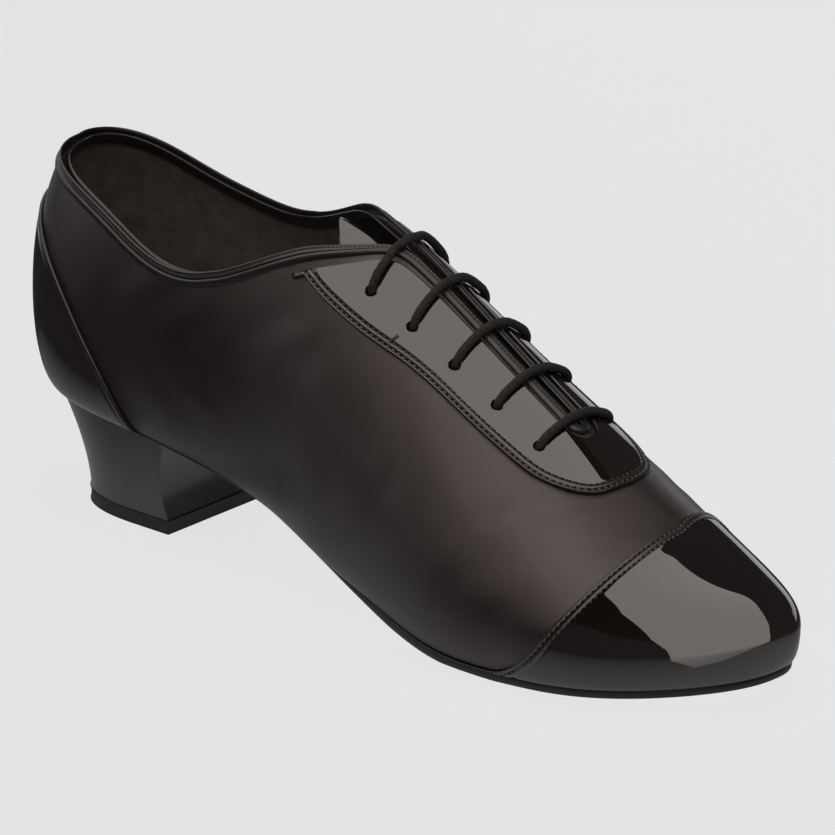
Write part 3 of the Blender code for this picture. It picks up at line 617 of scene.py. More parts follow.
# Overlays: each is a band from its own seam inwards, its height above the upper given by seamProfile
def bandGrid(side, seam, far, steps, bodySteps):
    places = []
    probe = np.linspace(0, 1, 25)
    for start, end in zip(seam, far):
        way = start + (end - start) * probe[:, None]
        points = lastPoint(way[:, 0], side, way[:, 1])
        run = runAlong(points)
        total = run[-1]
        near = np.array(steps) * min(1.0, 0.55 * total / steps[-1])
        rest = near[-1] + (total - near[-1]) * (np.arange(1, bodySteps + 1) / bodySteps)
        wanted = np.concatenate([near, rest])
        share = np.interp(wanted, run, probe) if total > 1e-6 else np.linspace(0, 1, len(wanted))
        places.append(start + (end - start) * share[:, None])
    return np.array(places)


def distanceTo(points, line):
    flat = points.reshape(-1, 3)
    best = np.full(len(flat), 1e9)
    for a, b in zip(line, line[1:]):
        run = b - a
        share = np.clip(((flat - a) @ run) / max(run @ run, 1e-18), 0, 1)
        best = np.minimum(best, np.linalg.norm(flat - a - share[:, None] * run, axis=1))
    return best.reshape(points.shape[:-1])


def seamProfile(distance, seam):
    rim = np.sqrt(1 - (1 - np.clip(distance / seam["round"], 0, 1)) ** 2)
    height = seam["foot"] + (seam["height"] - seam["foot"]) * rim
    for at, wide, high in seam["beads"]:
        height = height + high * np.exp(-((distance - at) / wide) ** 2)
    return height


def overlayGrid(side, seam, far, settings):
    places = bandGrid(side, seam, far, settings["steps"], settings["bodySteps"])
    points = lastPoint(places[..., 0], side, places[..., 1])
    normals = lastNormal(places[..., 0], side, places[..., 1])
    line = points[:, 0]
    away = distanceTo(points, line[::2] if len(line) % 2 else line)
    raised = points + normals * seamProfile(away, settings["seam"])[..., None]
    return raised, places, points, normals


# Path at a distance inside the seam, raised above the upper
def insideSeam(side, places, distance, lift=0.00092):
    points = lastPoint(places[..., 0], side, places[..., 1])
    path = []
    ups = []
    for way, line in zip(places, points):
        run = runAlong(line)
        if run[-1] < distance:
            continue
        along, rise = placesAt(distance, run, way)
        normal = lastNormal(along, side, rise)
        path.append(lastPoint(along, side, rise) + normal * lift)
        ups.append(normal)
    return turned(side, np.array(path)), turned(side, np.array(ups))


# the two sides of an overlay share one line where they meet at the toe or the heel
def weldEnds(grids):
    shared = 0.5 * (grids[0][:, -1] + grids[1][::-1][:, -1])
    grids[0][:, -1] = shared
    grids[1][:, -1] = shared[::-1]


edgeSteps = [0, 0.0001, 0.0002, 0.00035, 0.0005, 0.0007, 0.0009, 0.0011, 0.0013, 0.0015, 0.0017, 0.0019,
             0.0021, 0.0023, 0.0026, 0.0029, 0.0032, 0.0035, 0.0038, 0.0042, 0.0047]
foldedSeam = {"round": 0.0006, "foot": 0.0003, "height": 0.00105, "columns": 16,
              "beads": ((0.0005, 0.00035, 0.00016), (0.00120, 0.00032, -0.00024),
                        (0.0021, 0.00050, 0.00016), (0.0030, 0.00032, -0.00024))}
seamStitch = {"pitch": 0.0021, "length": 0.00145, "width": 0.00072, "height": 0.00036, "slant": 8,
              "hole": 0.00052}
fineStitch = {"pitch": 0.00135, "length": 0.00098, "width": 0.00042, "height": 0.00024, "slant": 14,
              "hole": 0}
threads = []

# Toe cap
toeCap = {"seamAt": 0.2415, "sweep": 0.0345, "sweepPower": 2.4, "columns": 110, "bodySteps": 70,
          "steps": edgeSteps, "seam": foldedSeam, "wall": 0.0008, "stitchRows": (0.00120, 0.0030),
          "innerSweep": 0.0045, "ridgeSpread": 11, "ridgeReach": (8, 34), "ridgeFrom": (12, 30),
          "tipReach": 0.022, "tipRise": (0.0125, 0.0165)}
capRises = np.linspace(0.0, 1, toeCap["columns"])
capSeam = np.stack([(toeCap["seamAt"] - toeCap["sweep"] * (1 - capRises) ** toeCap["sweepPower"])
                    / lastShape["length"], capRises], -1)
capTip = np.stack([np.ones_like(capRises), capRises], -1)
capGrids = []
capStitches = {distance: [] for distance in toeCap["stitchRows"]}
for side in (-1, 1):
    seam = capSeam.copy()
    if side > 0:
        # the seam stays straight over the ridge, so it runs a little back on the inner side
        seam[:, 0] -= toeCap["innerSweep"] / lastShape["length"] * np.sin(math.pi * np.clip(
            (1 - capRises) / 0.5, 0, 1))
    raised, places, _, _ = overlayGrid(side, seam, capTip, toeCap)
    capGrids.append(turned(side, raised))
    for distance in toeCap["stitchRows"]:
        capStitches[distance].append(insideSeam(side, places, distance))
# the ribs of the two sides meet in a slight edge along the ridge, so the cap is eased across it
weldEnds(capGrids)
whole = np.concatenate([capGrids[0], capGrids[1][1:]])
middle = toeCap["columns"] - 1
reach = np.arange(-3 * toeCap["ridgeSpread"], 3 * toeCap["ridgeSpread"] + 1)
kernel = np.exp(-0.5 * (reach / toeCap["ridgeSpread"]) ** 2)
padded = np.pad(whole, ((len(reach) // 2, len(reach) // 2), (0, 0), (0, 0)), "edge")
eased = sum(weight * padded[k:k + len(whole)] for k, weight in enumerate(kernel / kernel.sum()))
fromRidge = np.abs(np.arange(len(whole)) - middle)
nearRidge = 1 - ease(fromRidge, *toeCap["ridgeReach"])
behindSeam = ease(np.arange(whole.shape[1]), *toeCap["ridgeFrom"])
whole = whole + (eased - whole) * (nearRidge[:, None] * behindSeam)[..., None]
cap = gridPiece("toeCapPatent", [whole], [patentToe, foldedEdge], toeCap["wall"], True, 0,
                foldedSeam["columns"])
tip = lastPoint(1.0, 1, 1.0) + np.array(lastShape["move"])
easing = cap.vertex_groups.new(name="tip")
for vertex in cap.data.vertices:
    away = math.hypot(vertex.co.x - tip[0], vertex.co.y - tip[1])
    if away < toeCap["tipReach"]:
        nearTip = 1 - ease(away, toeCap["tipReach"] * 0.45, toeCap["tipReach"])
        easing.add([vertex.index], float(nearTip * ease(vertex.co.z, *toeCap["tipRise"])), "REPLACE")
softTip = cap.modifiers.new("softTip", "SMOOTH")
softTip.vertex_group = "tip"
softTip.factor = 0.5
softTip.iterations = 200
cap.modifiers.move(1, 0)
# the cap's stitches use the lighter thread, whose lightness is partly painted highlight
for row, parts in enumerate(capStitches.values()):
    sewRow("capStitches%d" % (row + 1), parts, seamStitch, [threadWithPaintedHighlight, paintedHoleShade])
print("toe cap made")

# Heel counter, with a piped seam
counterPiece = {"front": 0.0500, "reach": 0.83, "power": 3.0, "columns": 90, "bodySteps": 46,
                "steps": edgeSteps, "wall": 0.0008, "pipeRadius": 0.00062, "pipeLift": 0.00055,
                "stitchRow": 0.0016, "stitchLift": 0.0009,
                "seam": {"round": 0.0005, "foot": 0.0003, "height": 0.00105,
                         "beads": ((0.0016, 0.00035, -0.00022),)}}
counterShares = counterPiece["reach"] * (1 - (1 - np.linspace(0, 1, counterPiece["columns"])) ** 1.5)
counterSeamAlong = (counterPiece["front"] / lastShape["length"]
                    * np.clip(1 - (counterShares / counterPiece["reach"]) ** counterPiece["power"], 0, 1))
counterGrids = []
counterPaths = []
pipePaths = []
for side in (-1, 1):
    seam = np.stack([counterSeamAlong, counterShares * edgeRises(counterSeamAlong, side)], -1)
    back = np.stack([np.zeros_like(counterShares), counterShares * edgeRise(0, -1)], -1)
    raised, places, points, normals = overlayGrid(side, seam, back, counterPiece)
    counterGrids.append(turned(side, raised))
    counterPaths.append(insideSeam(side, places, counterPiece["stitchRow"], counterPiece["stitchLift"]))
    pipePaths.append(turned(side, points[:, 0] + normals[:, 0] * counterPiece["pipeLift"]))
weldEnds(counterGrids)
counter = gridPiece("heelCounterPatent", counterGrids, [patentCounter], counterPiece["wall"], False)
sewRow("counterStitches", counterPaths, fineStitch, [darkThread])
pipeLine = np.concatenate([pipePaths[0], pipePaths[1][1:]])
pipe = tubePiece("counterPiping", pathThrough(pipeLine, 0.0008), counterPiece["pipeRadius"], 10,
                 bindingLeather)
print("heel counter made")

# Eyelet panel
eyeletPanel = {"columns": 190, "bodySteps": 40, "steps": edgeSteps, "seam": foldedSeam, "wall": 0.0008,
               "stitchRows": (0.00120, 0.0030), "bindingGap": 0.0002, "ribLength": 0.07,
               "backPart": 0.25, "backDrop": 0.012, "tackAt": 0.1500, "tackEnds": (0.0026, 0.0058)}
tackStitch = {"pitch": 0.00042, "length": 0.0014, "width": 0.00042, "height": 0.0003, "slant": 90,
              "hole": 0, "lift": 0.0012}
panelPlaces = {}
# along and rise of the panel's outer edge
panelRows = ((0.402, 0.698), (0.440, 0.678), (0.500, 0.685), (0.560, 0.718), (0.620, 0.742),
             (0.690, 0.757), (0.735, 0.773), (0.768, 0.822), (0.786, 0.892), (0.792, 1.000))
panelTable = np.array(panelRows)
run = np.linspace(0, 1, len(panelTable))
fine = np.linspace(0, 1, 400)
panelEdge = np.stack([splineThrough(run, panelTable[:, 0])(fine),
                      np.minimum(splineThrough(run, panelTable[:, 1])(fine), 1.0)], -1)
edgeRun = runAlong(panelEdge * (lastShape["length"], eyeletPanel["ribLength"]))
share = np.linspace(0, 1, eyeletPanel["columns"])
panelSeam = placesAt(share * edgeRun[-1], edgeRun, panelEdge)
panelFirst = panelTable[0, 0]
panelGrids = []
panelStitches = {distance: [] for distance in eyeletPanel["stitchRows"]}
for side in (-1, 1):
    lastAlong = alongAt(throat["end"] + bindingWidth["throat"] + eyeletPanel["bindingGap"])
    rimAlongs = panelFirst + (lastAlong - panelFirst) * (1 - (1 - share) ** 2)
    rimRises = np.array([edgeRise(a, side, bindingLeg(a) + eyeletPanel["bindingGap"]) for a in rimAlongs])
    rimRises[-1] = 1.0
    rim = np.stack([rimAlongs, rimRises], -1)
    seam = panelSeam.copy()
    belowRim = np.interp(seam[:, 0], rimAlongs, rimRises) - eyeletPanel["backDrop"]
    seam[:, 1] = np.where(share < eyeletPanel["backPart"], np.minimum(seam[:, 1], belowRim), seam[:, 1])
    raised, places, _, _ = overlayGrid(side, seam, rim, eyeletPanel)
    panelPlaces[side] = places
    panelGrids.append(turned(side, raised))
    for distance in eyeletPanel["stitchRows"]:
        panelStitches[distance].append(insideSeam(side, places, distance))
panel = gridPiece("eyeletPanelPatent", panelGrids, [patentPanel, foldedEdge], eyeletPanel["wall"], False, 0,
                  foldedSeam["columns"])
# the outer row gets the lighter thread, partly painted highlight; the inner row gets the dark thread
for row, (parts, thread) in enumerate(zip(panelStitches.values(), (threadWithPaintedHighlight, darkThread))):
    sewRow("panelStitches%d" % (row + 1), parts, seamStitch, [thread, paintedHoleShade])
# a bar tack across the inner row of stitches
for side, stations in panelPlaces.items():
    column = stations[np.argmin(np.abs(ridgeX(stations[:, 0, 0]) - eyeletPanel["tackAt"]))]
    ends = [insideSeam(side, column[None], distance, tackStitch["lift"])
            for distance in eyeletPanel["tackEnds"]]
    sewRow("barTackOuter" if side < 0 else "barTackInner", ends, tackStitch, [darkThread])
print("eyelet panel made")

# Binding round the collar and down the throat
binding = {"spacing": 0.0009, "stitchLift": 0.00082, "stitchIn": 0.0006}
rimAlongs = np.unique(np.concatenate([evenAlongs(420), throatRound, np.linspace(0.40, 0.60, 120)]))
rimAlongs = rimAlongs[rimAlongs <= throatRound[-1] + 1e-9]
rimLine = []
rimNormal = []
for side in (-1, 1):
    rises = edgeRises(rimAlongs, side)
    rises[-1] = 1.0
    points = lastPoint(rimAlongs, side, rises)
    normals = lastNormal(rimAlongs, side, rises)
    rimLine.append(points[::-1] if side < 0 else points[1:-1])
    rimNormal.append(normals[::-1] if side < 0 else normals[1:-1])
rimLine = np.concatenate(rimLine)
rimNormal = np.concatenate(rimNormal)
closedLine = np.concatenate([rimLine, rimLine[:1]])
closedNormal = np.concatenate([rimNormal, rimNormal[:1]])
run = runAlong(closedLine)
count = int(run[-1] / binding["spacing"])
at = np.linspace(0, run[-1], count, endpoint=False)
rimLine = placesAt(at, run, closedLine)
rimNormal = unit(placesAt(at, run, closedNormal))
for _ in range(2):
    rimLine = 0.25 * np.roll(rimLine, 1, 0) + 0.5 * rimLine + 0.25 * np.roll(rimLine, -1, 0)
rimRun = unit(np.roll(rimLine, -1, 0) - np.roll(rimLine, 1, 0))
rimNormal = unit(rimNormal - rimRun * np.sum(rimNormal * rimRun, -1, keepdims=True))
rimBeyond = -np.cross(rimRun, rimNormal)
rimLeg = bindingLeg(rimLine[:, 0] / lastShape["length"])
# across the leather and beyond its edge, in millimetres; the third is how far down the leg
bindingProfile = (
    (0.35, 0.0, 1.0), (0.72, 0.04, 0.98), (0.92, 0.18, 0.95), (0.95, 0.35, 0.92), (0.74, 0.62, 0.90),
    (0.92, 0.92, 0.88), (0.97, 0.9, 0.68), (0.93, 0.6, 0.56), (0.70, 0.35, 0.50), (0.62, 0.2, 0.44),
    (0.80, 0.1, 0.37), (1.02, 0.0, 0.28), (1.12, 0.0, 0.16), (1.06, 0.0, 0.04), (0.86, 0.42, 0.0),
    (0.48, 0.80, 0.0), (-0.05, 1.00, 0.0), (-0.70, 1.05, 0.0), (-1.40, 1.00, 0.0), (-2.00, 0.75, 0.0),
    (-2.40, 0.30, 0.0), (-2.60, -0.15, 0.08), (-2.62, 0.0, 0.40), (-2.60, 0.0, 0.80), (-2.50, 0.0, 0.98),
    (-2.15, 0.0, 1.0), (-2.12, 0.0, 0.6), (-2.12, 0.15, 0.0), (0.30, 0.15, 0.0), (0.30, 0.0, 0.6),
)
rings = []
for across, past, down in bindingProfile:
    rings.append(rimLine + rimNormal * across / 1000
                 + rimBeyond * (past / 1000 - down * rimLeg)[:, None])
rings = np.stack(rings, 1)
rings = np.concatenate([rings, rings[:1]])
faces = gridFaces(len(rings), len(bindingProfile), 0, False, True)
edging = pieceFrom("toplineBinding", rings.reshape(-1, 3), faces, [bindingLeather])
rimStitches = (rimLine + rimNormal * binding["stitchLift"]
               - rimBeyond * (0.90 * rimLeg - binding["stitchIn"])[:, None])
sewRow("bindingStitches", [(rimStitches, rimNormal)], fineStitch, [darkThread])
print("binding made")

# Eyelets are punched through upper and panel
eyelets = {"rows": 5, "first": 0.1398, "last": 0.2020, "setback": 0.0127, "radius": 0.00175,
           "punchReach": 0.005, "sides": 24}


# Rise of the place that lies so far beside the throat's edge
def riseBeside(along, side, setback):
    points = lastPoint(along, side, riseSamples)
    away = np.abs(points[:, 1] - lastCurves[9](points[:, 0] / lastShape["length"]))
    beyond = away - throatHalf(points[:, 0], 0.0) - setback
    return float(np.interp(0.0, -beyond, riseSamples))


eyeletPlaces = []
for row in range(eyelets["rows"]):
    x = eyelets["first"] + (eyelets["last"] - eyelets["first"]) * row / (eyelets["rows"] - 1)
    along = float(alongAt(x))
    eyeletPlaces.append({side: (along, riseBeside(along, side, eyelets["setback"])) for side in (-1, 1)})
punchVerts = []
punchFaces = []
for both in eyeletPlaces:
    for side, (along, rise) in both.items():
        centre = lastPoint(along, side, rise)
        axis = lastNormal(along, side, rise)
        reach = axis * eyelets["punchReach"]
        around = tubeRings([centre - reach, centre, centre + reach], eyelets["radius"], eyelets["sides"])
        punchFaces += tubeFaces(3, eyelets["sides"], len(punchVerts))
        punchVerts += around.reshape(-1, 3).tolist()
punch = pieceFrom("eyeletPunch", punchVerts, punchFaces, [])
punch.hide_render = True
for target in (upper, panel):
    hole = target.modifiers.new("eyelets", "BOOLEAN")
    hole.operation = "DIFFERENCE"
    hole.solver = "EXACT"
    hole.object = punch
print("eyelets punched")

# Lace: straight bars over the throat, joined by runs inside
lace = {"radius": 0.00128, "spacing": 0.00042, "sides": 20, "over": 0.0024, "overRim": 0.0029,
        "under": 0.0036, "inHole": 0.0008, "tailShift": 0.0045, "smoothSteps": 16,
        "twist": 0.0052, "strands": 4, "strandRise": 0.055}
corners = []
side = -1
for both in eyeletPlaces:
    halves = {}
    for own in (-1, 1):
        along, rise = both[own]
        edge = edgeRise(along, own)
        normal = lastNormal(along, own, rise)
        centre = lastPoint(along, own, rise)
        half = [centre - normal * lace["under"], centre - normal * lace["inHole"]]
        for share, lift in ((0.10, 0.0014), (0.26, lace["over"]), (0.50, lace["over"] + 0.0001),
                            (0.78, lace["overRim"] - 0.0002), (1.0, lace["overRim"])):
            at = rise + (edge - rise) * share
            half.append(lastPoint(along, own, at) + lastNormal(along, own, at) * lift)
        halves[own] = half
    corners += halves[side] + halves[-side][::-1]
    side = -side
for both in eyeletPlaces[::-1]:
    along, rise = both[side]
    inner = riseBeside(along, side, eyelets["setback"] - lace["tailShift"])
    corners.append(lastPoint(along, side, inner) - lastNormal(along, side, inner) * lace["under"])
corners = np.array(corners)
# centripetal smoothing through the corners
run = np.concatenate([[0], np.cumsum(np.linalg.norm(np.diff(corners, axis=0), axis=1) ** 0.7)])
slope = np.gradient(corners, run, axis=0)
smooth = []
for k in range(len(corners) - 1):
    step = run[k + 1] - run[k]
    for s in np.linspace(0, 1, lace["smoothSteps"], endpoint=False):
        smooth.append((2 * s ** 3 - 3 * s ** 2 + 1) * corners[k] + (s ** 3 - 2 * s ** 2 + s) * step * slope[k]
                      + (3 * s ** 2 - 2 * s ** 3) * corners[k + 1] + (s ** 3 - s ** 2) * step * slope[k + 1])
smooth.append(corners[-1])


# two sets of strands that cross round the cord
def braid(run, angle):
    turn = run / lace["twist"] * 2 * math.pi
    left = np.cos(lace["strands"] * angle + 2 * turn)
    right = np.cos(lace["strands"] * angle - 2 * turn)
    return 1 + lace["strandRise"] * np.maximum(left, right)


cord = tubePiece("laceCord", pathThrough(smooth, lace["spacing"]), lace["radius"], lace["sides"], cordCotton,
                 braid)
print("lace threaded")

# Tongue
tongueLeaf = {"back": 0.1150, "front": 0.2220, "backHalf": 0.0118, "half": 0.0190, "tipHalf": 0.0120,
              "widest": 0.160, "backRound": 0.0056, "settleStart": 0.208, "settleEnd": 0.220,
              "gap": 0.0052, "seatGap": 0.0004, "wall": 0.0014}
tongueGrid = []
for x in np.linspace(tongueLeaf["back"], tongueLeaf["front"], 80):
    along = float(alongAt(x))
    half = np.interp(x, (tongueLeaf["back"], tongueLeaf["widest"], tongueLeaf["front"]),
                     (tongueLeaf["backHalf"], tongueLeaf["half"], tongueLeaf["tipHalf"]))
    settle = ease(x, tongueLeaf["settleStart"], tongueLeaf["settleEnd"])
    depth = upperSheet["wall"] + tongueLeaf["gap"] + (tongueLeaf["seatGap"] - tongueLeaf["gap"]) * settle
    toFront = (tongueLeaf["front"] - x) / (tongueLeaf["front"] - tongueLeaf["back"])
    back = tongueLeaf["backRound"] * toFront ** 8
    column = []
    for w in np.linspace(-1, 1, 33):
        side = -1 if w < 0 else 1
        place = along + back * w * w / lastShape["length"]
        points = lastPoint(place, side, riseSamples)
        aside = np.abs(points[:, 1] - points[-1, 1])
        rise = min(float(np.interp(-abs(w) * half, -aside, riseSamples)), 1.0)
        column.append(lastPoint(place, side, rise) - lastNormal(place, side, rise) * depth)
    tongueGrid.append(column)
tongue = gridPiece("tonguePatent", [np.array(tongueGrid)], [patentTongue, liningSuede],
                   tongueLeaf["wall"], False, 1)
print("tongue made")


# Sole
sole = {"gap": 0.0003, "thick": 0.0030, "waistThick": 0.0016, "welt": 0.0010, "waistInset": 0.0004,
        "seatInset": 0.0006, "waistZone": (0.028, 0.085), "ballZone": (0.124, 0.169), "stations": 240}


def soleSpread(x):
    seatEnd, waistStart = sole["waistZone"]
    waist = np.clip((x - seatEnd) / (waistStart - seatEnd), 0, 1)
    behind = -sole["seatInset"] + (sole["seatInset"] - sole["waistInset"]) * waist
    return behind + (sole["welt"] - behind) * ease(x, *sole["ballZone"])


def soleOutline(along, side, spread):
    x = featherX(along) + spread * along ** 6 - spread * (1 - along) ** 6
    return x, side * (lastCurves[0 if side < 0 else 1](along) + spread) * endRounding(along)


def soleUnder(along):
    thick = sole["waistThick"] + (sole["thick"] - sole["waistThick"]) * ease(
        along * lastShape["length"], *sole["ballZone"])
    return np.maximum(0.0, lastCurves[2](along) - sole["gap"] - thick)


alongs = evenAlongs(sole["stations"])
spreads = soleSpread(alongs * lastShape["length"])
tops = lastCurves[2](alongs) - sole["gap"]
unders = soleUnder(alongs)
# inset from the edge and share of the thickness, from the middle below round the edge to the middle on top
soleProfile = ((0.0100, 0.0), (0.0040, 0.0), (0.0009, 0.0), (0.0004, 0.05), (0.0001, 0.22), (0.0, 0.5),
               (0.0001, 0.8), (0.0004, 0.97), (0.0010, 1.0), (0.0060, 1.0))
columns = []
for side in (-1, 1):
    for inset, level in (soleProfile if side < 0 else soleProfile[::-1]):
        x, y = soleOutline(alongs, side, spreads - inset)
        columns.append(np.stack([x, y, unders + (tops - unders) * level], -1))
soleGrid = np.stack(columns, 1)
faces = gridFaces(len(alongs), len(columns), 0, False, True)
outsole = pieceFrom("outsoleSuede", soleGrid.reshape(-1, 3), faces, [soleSuede, soleEdge])
for face in outsole.data.polygons:
    face.material_index = 0 if face.normal.z < -0.75 else 1
print("sole made")

# Heel block and its top piece
heelBlock = {"breast": 0.0625, "hollow": 0.0025, "bottomHalf": 0.0205, "bottomBack": 0.0190,
             "seatSetIn": 0.0010, "power": 2.5, "backPower": 1.9, "sidePower": 1.4, "widest": 0.30,
             "topPiece": 0.0042, "topPieceRings": (0.0008, 0.0034), "gap": 0.0003,
             "softEdge": 0.0003, "levels": 26, "points": 75}


def heelRing(level):
    backTop = lastShape["heelUndercut"] + heelBlock["seatSetIn"]
    back = heelBlock["bottomBack"] + (backTop - heelBlock["bottomBack"]) * level ** heelBlock["backPower"]
    seatHalf = lastShape["width"] * lastRows[1][1] - sole["seatInset"] - heelBlock["seatSetIn"]
    half = heelBlock["bottomHalf"] + (seatHalf - heelBlock["bottomHalf"]) * level ** heelBlock["sidePower"]
    breast = heelBlock["breast"] - heelBlock["hollow"] * math.sin(math.pi * level)
    widest = breast - (breast - back) * heelBlock["widest"]
    ring = [(breast, -half * 0.5), (breast, -half)]
    for angle in np.linspace(-math.pi / 2, math.pi / 2, heelBlock["points"]):
        c = abs(math.cos(angle)) ** (2 / heelBlock["power"])
        s = math.copysign(abs(math.sin(angle)) ** (2 / heelBlock["power"]), angle)
        ring.append((widest - (widest - back) * c, half * s))
    return ring + [(breast, half), (breast, half * 0.5), (breast, 0.0)]


def heelPiece(name, rings, material):
    count = len(rings[0])
    verts = [point for ring in rings for point in ring]
    piece = pieceFrom(name, verts, tubeFaces(len(rings), count), [material])
    soft = piece.modifiers.new("softEdge", "BEVEL")
    soft.width = heelBlock["softEdge"]
    soft.segments = 3
    soft.limit_method = "ANGLE"
    soft.angle_limit = math.radians(40)
    soft.harden_normals = True
    return piece


bottom = heelBlock["topPiece"] + heelBlock["gap"]
rings = []
for level in np.linspace(0, 1, heelBlock["levels"]):
    ring = []
    for x, y in heelRing(level):
        along = np.clip((x - lastShape["heelUndercut"]) / (
            lastShape["length"] - lastShape["heelUndercut"] - lastShape["toeUndercut"]), 0, 1)
        seat = float(soleUnder(along)) - heelBlock["gap"]
        ring.append((x, y, bottom + (seat - bottom) * level))
    rings.append(ring)
heel = heelPiece("heelBlockGloss", rings, heelCover)
foot = heelRing(0.0)
footLevels = (0.0, *heelBlock["topPieceRings"], heelBlock["topPiece"])
topPiece = heelPiece("heelTopRubber", [[(x, y, z) for x, y in foot] for z in footLevels], toughRubber)
print("heel made")

# Insole: a suede sock, slightly dished
sock = {"inset": 0.0007, "thick": 0.0020, "dish": 0.0006, "stations": 200}
alongs = evenAlongs(sock["stations"])
footZ = lastCurves[2](alongs) + 0.0003
columns = []
for side, insets in ((-1, (0.0, 0.0, 0.0005, 0.004, 0.012)), (1, (0.012, 0.004, 0.0005, 0.0, 0.0))):
    for k, inset in enumerate(insets):
        level = {0: 0.0, 1: 0.75, 2: 1.0}.get(k if side < 0 else 4 - k, 1.0)
        x, y = soleOutline(alongs, side, -sock["inset"] - inset)
        dish = sock["dish"] * ease(inset, 0.001, 0.012)
        columns.append(np.stack([x, y, footZ + sock["thick"] * level - dish], -1))
sockGrid = np.stack(columns, 1)
faces = gridFaces(len(alongs), len(columns), 0, False, True)
insole = pieceFrom("insoleSuede", sockGrid.reshape(-1, 3), faces, [sockSuede])
print("insole made")

# Every piece rides on the one body, and the solid of model.glb that it stands for is hidden
standsFor = ((upper, "upper", "upper"), (cap, "toe_cap", "toe_cap"), (panel, "eyelet_panel", "eyelet_panel"),
             (counter, "heel_counter", "heel_counter"), (edging, "topline_binding", "topline_binding"),
             (tongue, "tongue", "tongue"), (insole, "insole", "insole"), (outsole, "outsole", "outsole"),
             (heel, "heel", "heel"), (topPiece, "heel_top_piece", "heel_top_piece"), (cord, "lace", "lace"))
for piece, node, slotName in standsFor:
    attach(piece, "root")
    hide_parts(node)
for piece in threads + [pipe]:
    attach(piece, "root")
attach(punch, "root")

# Floor and lights
studio = {"floorSize": 16.0, "floorColour": (0.80, 0.80, 0.80), "worldColour": (0.80, 0.78, 0.77),
          "worldStrength": 0.04, "plainPower": 138.0, "shadowPower": 26.0}
floorMesh = bpy.data.meshes.new("studioFloor")
half = studio["floorSize"] / 2
floorMesh.from_pydata([(-half, -half, 0), (half, -half, 0), (half, half, 0), (-half, half, 0)], [],
                      [(0, 1, 2, 3)])
floor = bpy.data.objects.new("studioFloor", floorMesh)
bpy.context.scene.collection.objects.link(floor)
floorPaint, shader = newMaterial("floorPaint", studio["floorColour"], 0.9, specular=0.0)
floorMesh.materials.append(floorPaint)
floor.visible_glossy = False     # the shoe mirrors the cards below instead
floor.visible_shadow = False

world = bpy.data.worlds.new("studioWorld")
bpy.context.scene.world = world
world.use_nodes = True
world.node_tree.nodes["Background"].inputs["Color"].default_value = (*studio["worldColour"], 1)
world.node_tree.nodes["Background"].inputs["Strength"].default_value = studio["worldStrength"]


def lightGroup(name, items):
    group = bpy.data.collections.new(name)
    for item in items:
        group.objects.link(item)
    return group


# two lamps light the floor alone; only the weak one throws the shoe's shadow
for name, power, blockers in (("floorLamp", studio["plainPower"], [floor]),
                              ("shadowLamp", studio["shadowPower"], None)):
    light = bpy.data.lights.new(name, "AREA")
    light.shape = "SQUARE"
    light.size = 3.4
    light.energy = power
    lamp = bpy.data.objects.new(name, light)
    lamp.location = (0.0, 0.0, 3.2)
    bpy.context.scene.collection.objects.link(lamp)
    lamp.light_linking.receiver_collection = lightGroup("litBy" + name, [floor])
    if blockers:
        lamp.light_linking.blocker_collection = lightGroup("shading" + name, blockers)


def glowPaper(name, strength, colour):
    paper = bpy.data.materials.new(name)
    paper.use_nodes = True
    paper.node_tree.nodes.remove(paper.node_tree.nodes["Principled BSDF"])
    glow = addNode(paper, "ShaderNodeEmission", Strength=strength, Color=(*colour, 1))
    return paper, glow.outputs[0], paper.node_tree.nodes["Material Output"].inputs["Surface"]


# Only its reflection in the given pieces shows
def stageSheet(name, verts, faces, paper, receivers):
    sheet = pieceFrom(name, verts, faces, [paper], moved=False)
    sheet.visible_camera = False
    sheet.visible_shadow = False
    sheet.light_linking.receiver_collection = lightGroup("litBy" + name, receivers)
    return sheet


cardSteps = 21     # points along each way of a card


# A white card round the shoe, placed where its reflection is wanted. Each place is a direction from the
# card's centre: (0, 0) straight up, length 1 at the horizon, x towards the toe and y to the inner side
def lightCard(name, card, receivers):
    steps = np.linspace(0, 1, cardSteps)
    lines = []
    for row in card["rows"]:
        row = np.array(row)
        knots = np.linspace(0, 1, len(row))
        lines.append(placesAt(steps, knots, row))
    lines = np.array(lines)
    knots = np.linspace(0, 1, len(lines))
    flat = np.stack([placesAt(steps, knots, lines[:, v]) for v in range(cardSteps)], 1)
    square = np.sum(flat ** 2, -1, keepdims=True)
    way = np.concatenate([2 * flat, 1 - square], -1) / (1 + square)
    points = np.array(card["centre"]) + way * card["distance"]
    paper, light, surface = glowPaper(name + "Paper", card["strength"], card["colour"])
    link(paper, light, surface)
    stageSheet(name, points.reshape(-1, 3), gridFaces(cardSteps, cardSteps), paper, receivers)


shoePieces = [piece for piece, _, _ in standsFor] + [pipe] + threads
frontCard = {"centre": (0.10, 0.0, 0.03), "distance": 1.3, "strength": 1.1, "colour": (1.0, 0.945, 0.885),
             "rows": (((-0.19, 0.25), (0.40, 0.25)), ((-0.09, 0.05), (0.40, 0.05)),
                      ((0.0, -0.22), (0.40, -0.22)), ((0.20, -0.52), (0.40, -0.54)),
                      ((0.39, -0.74), (0.40, -0.74)))}
toeCard = dict(frontCard, rows=(((0.40, 0.25), (1.25, 0.25)), ((0.40, 0.05), (1.35, 0.05)),
                                ((0.40, -0.22), (1.50, -0.20)), ((0.40, -0.54), (1.50, -0.60)),
                                ((0.40, -0.74), (1.47, -0.85)), ((0.85, -1.30), (1.30, -1.30))))
farCard = dict(frontCard, rows=(((-0.25, 0.38), (0.0, 0.33), (0.26, 0.26), (0.70, 0.28), (1.15, 0.42)),
                                ((-0.19, 0.25), (1.25, 0.25))))
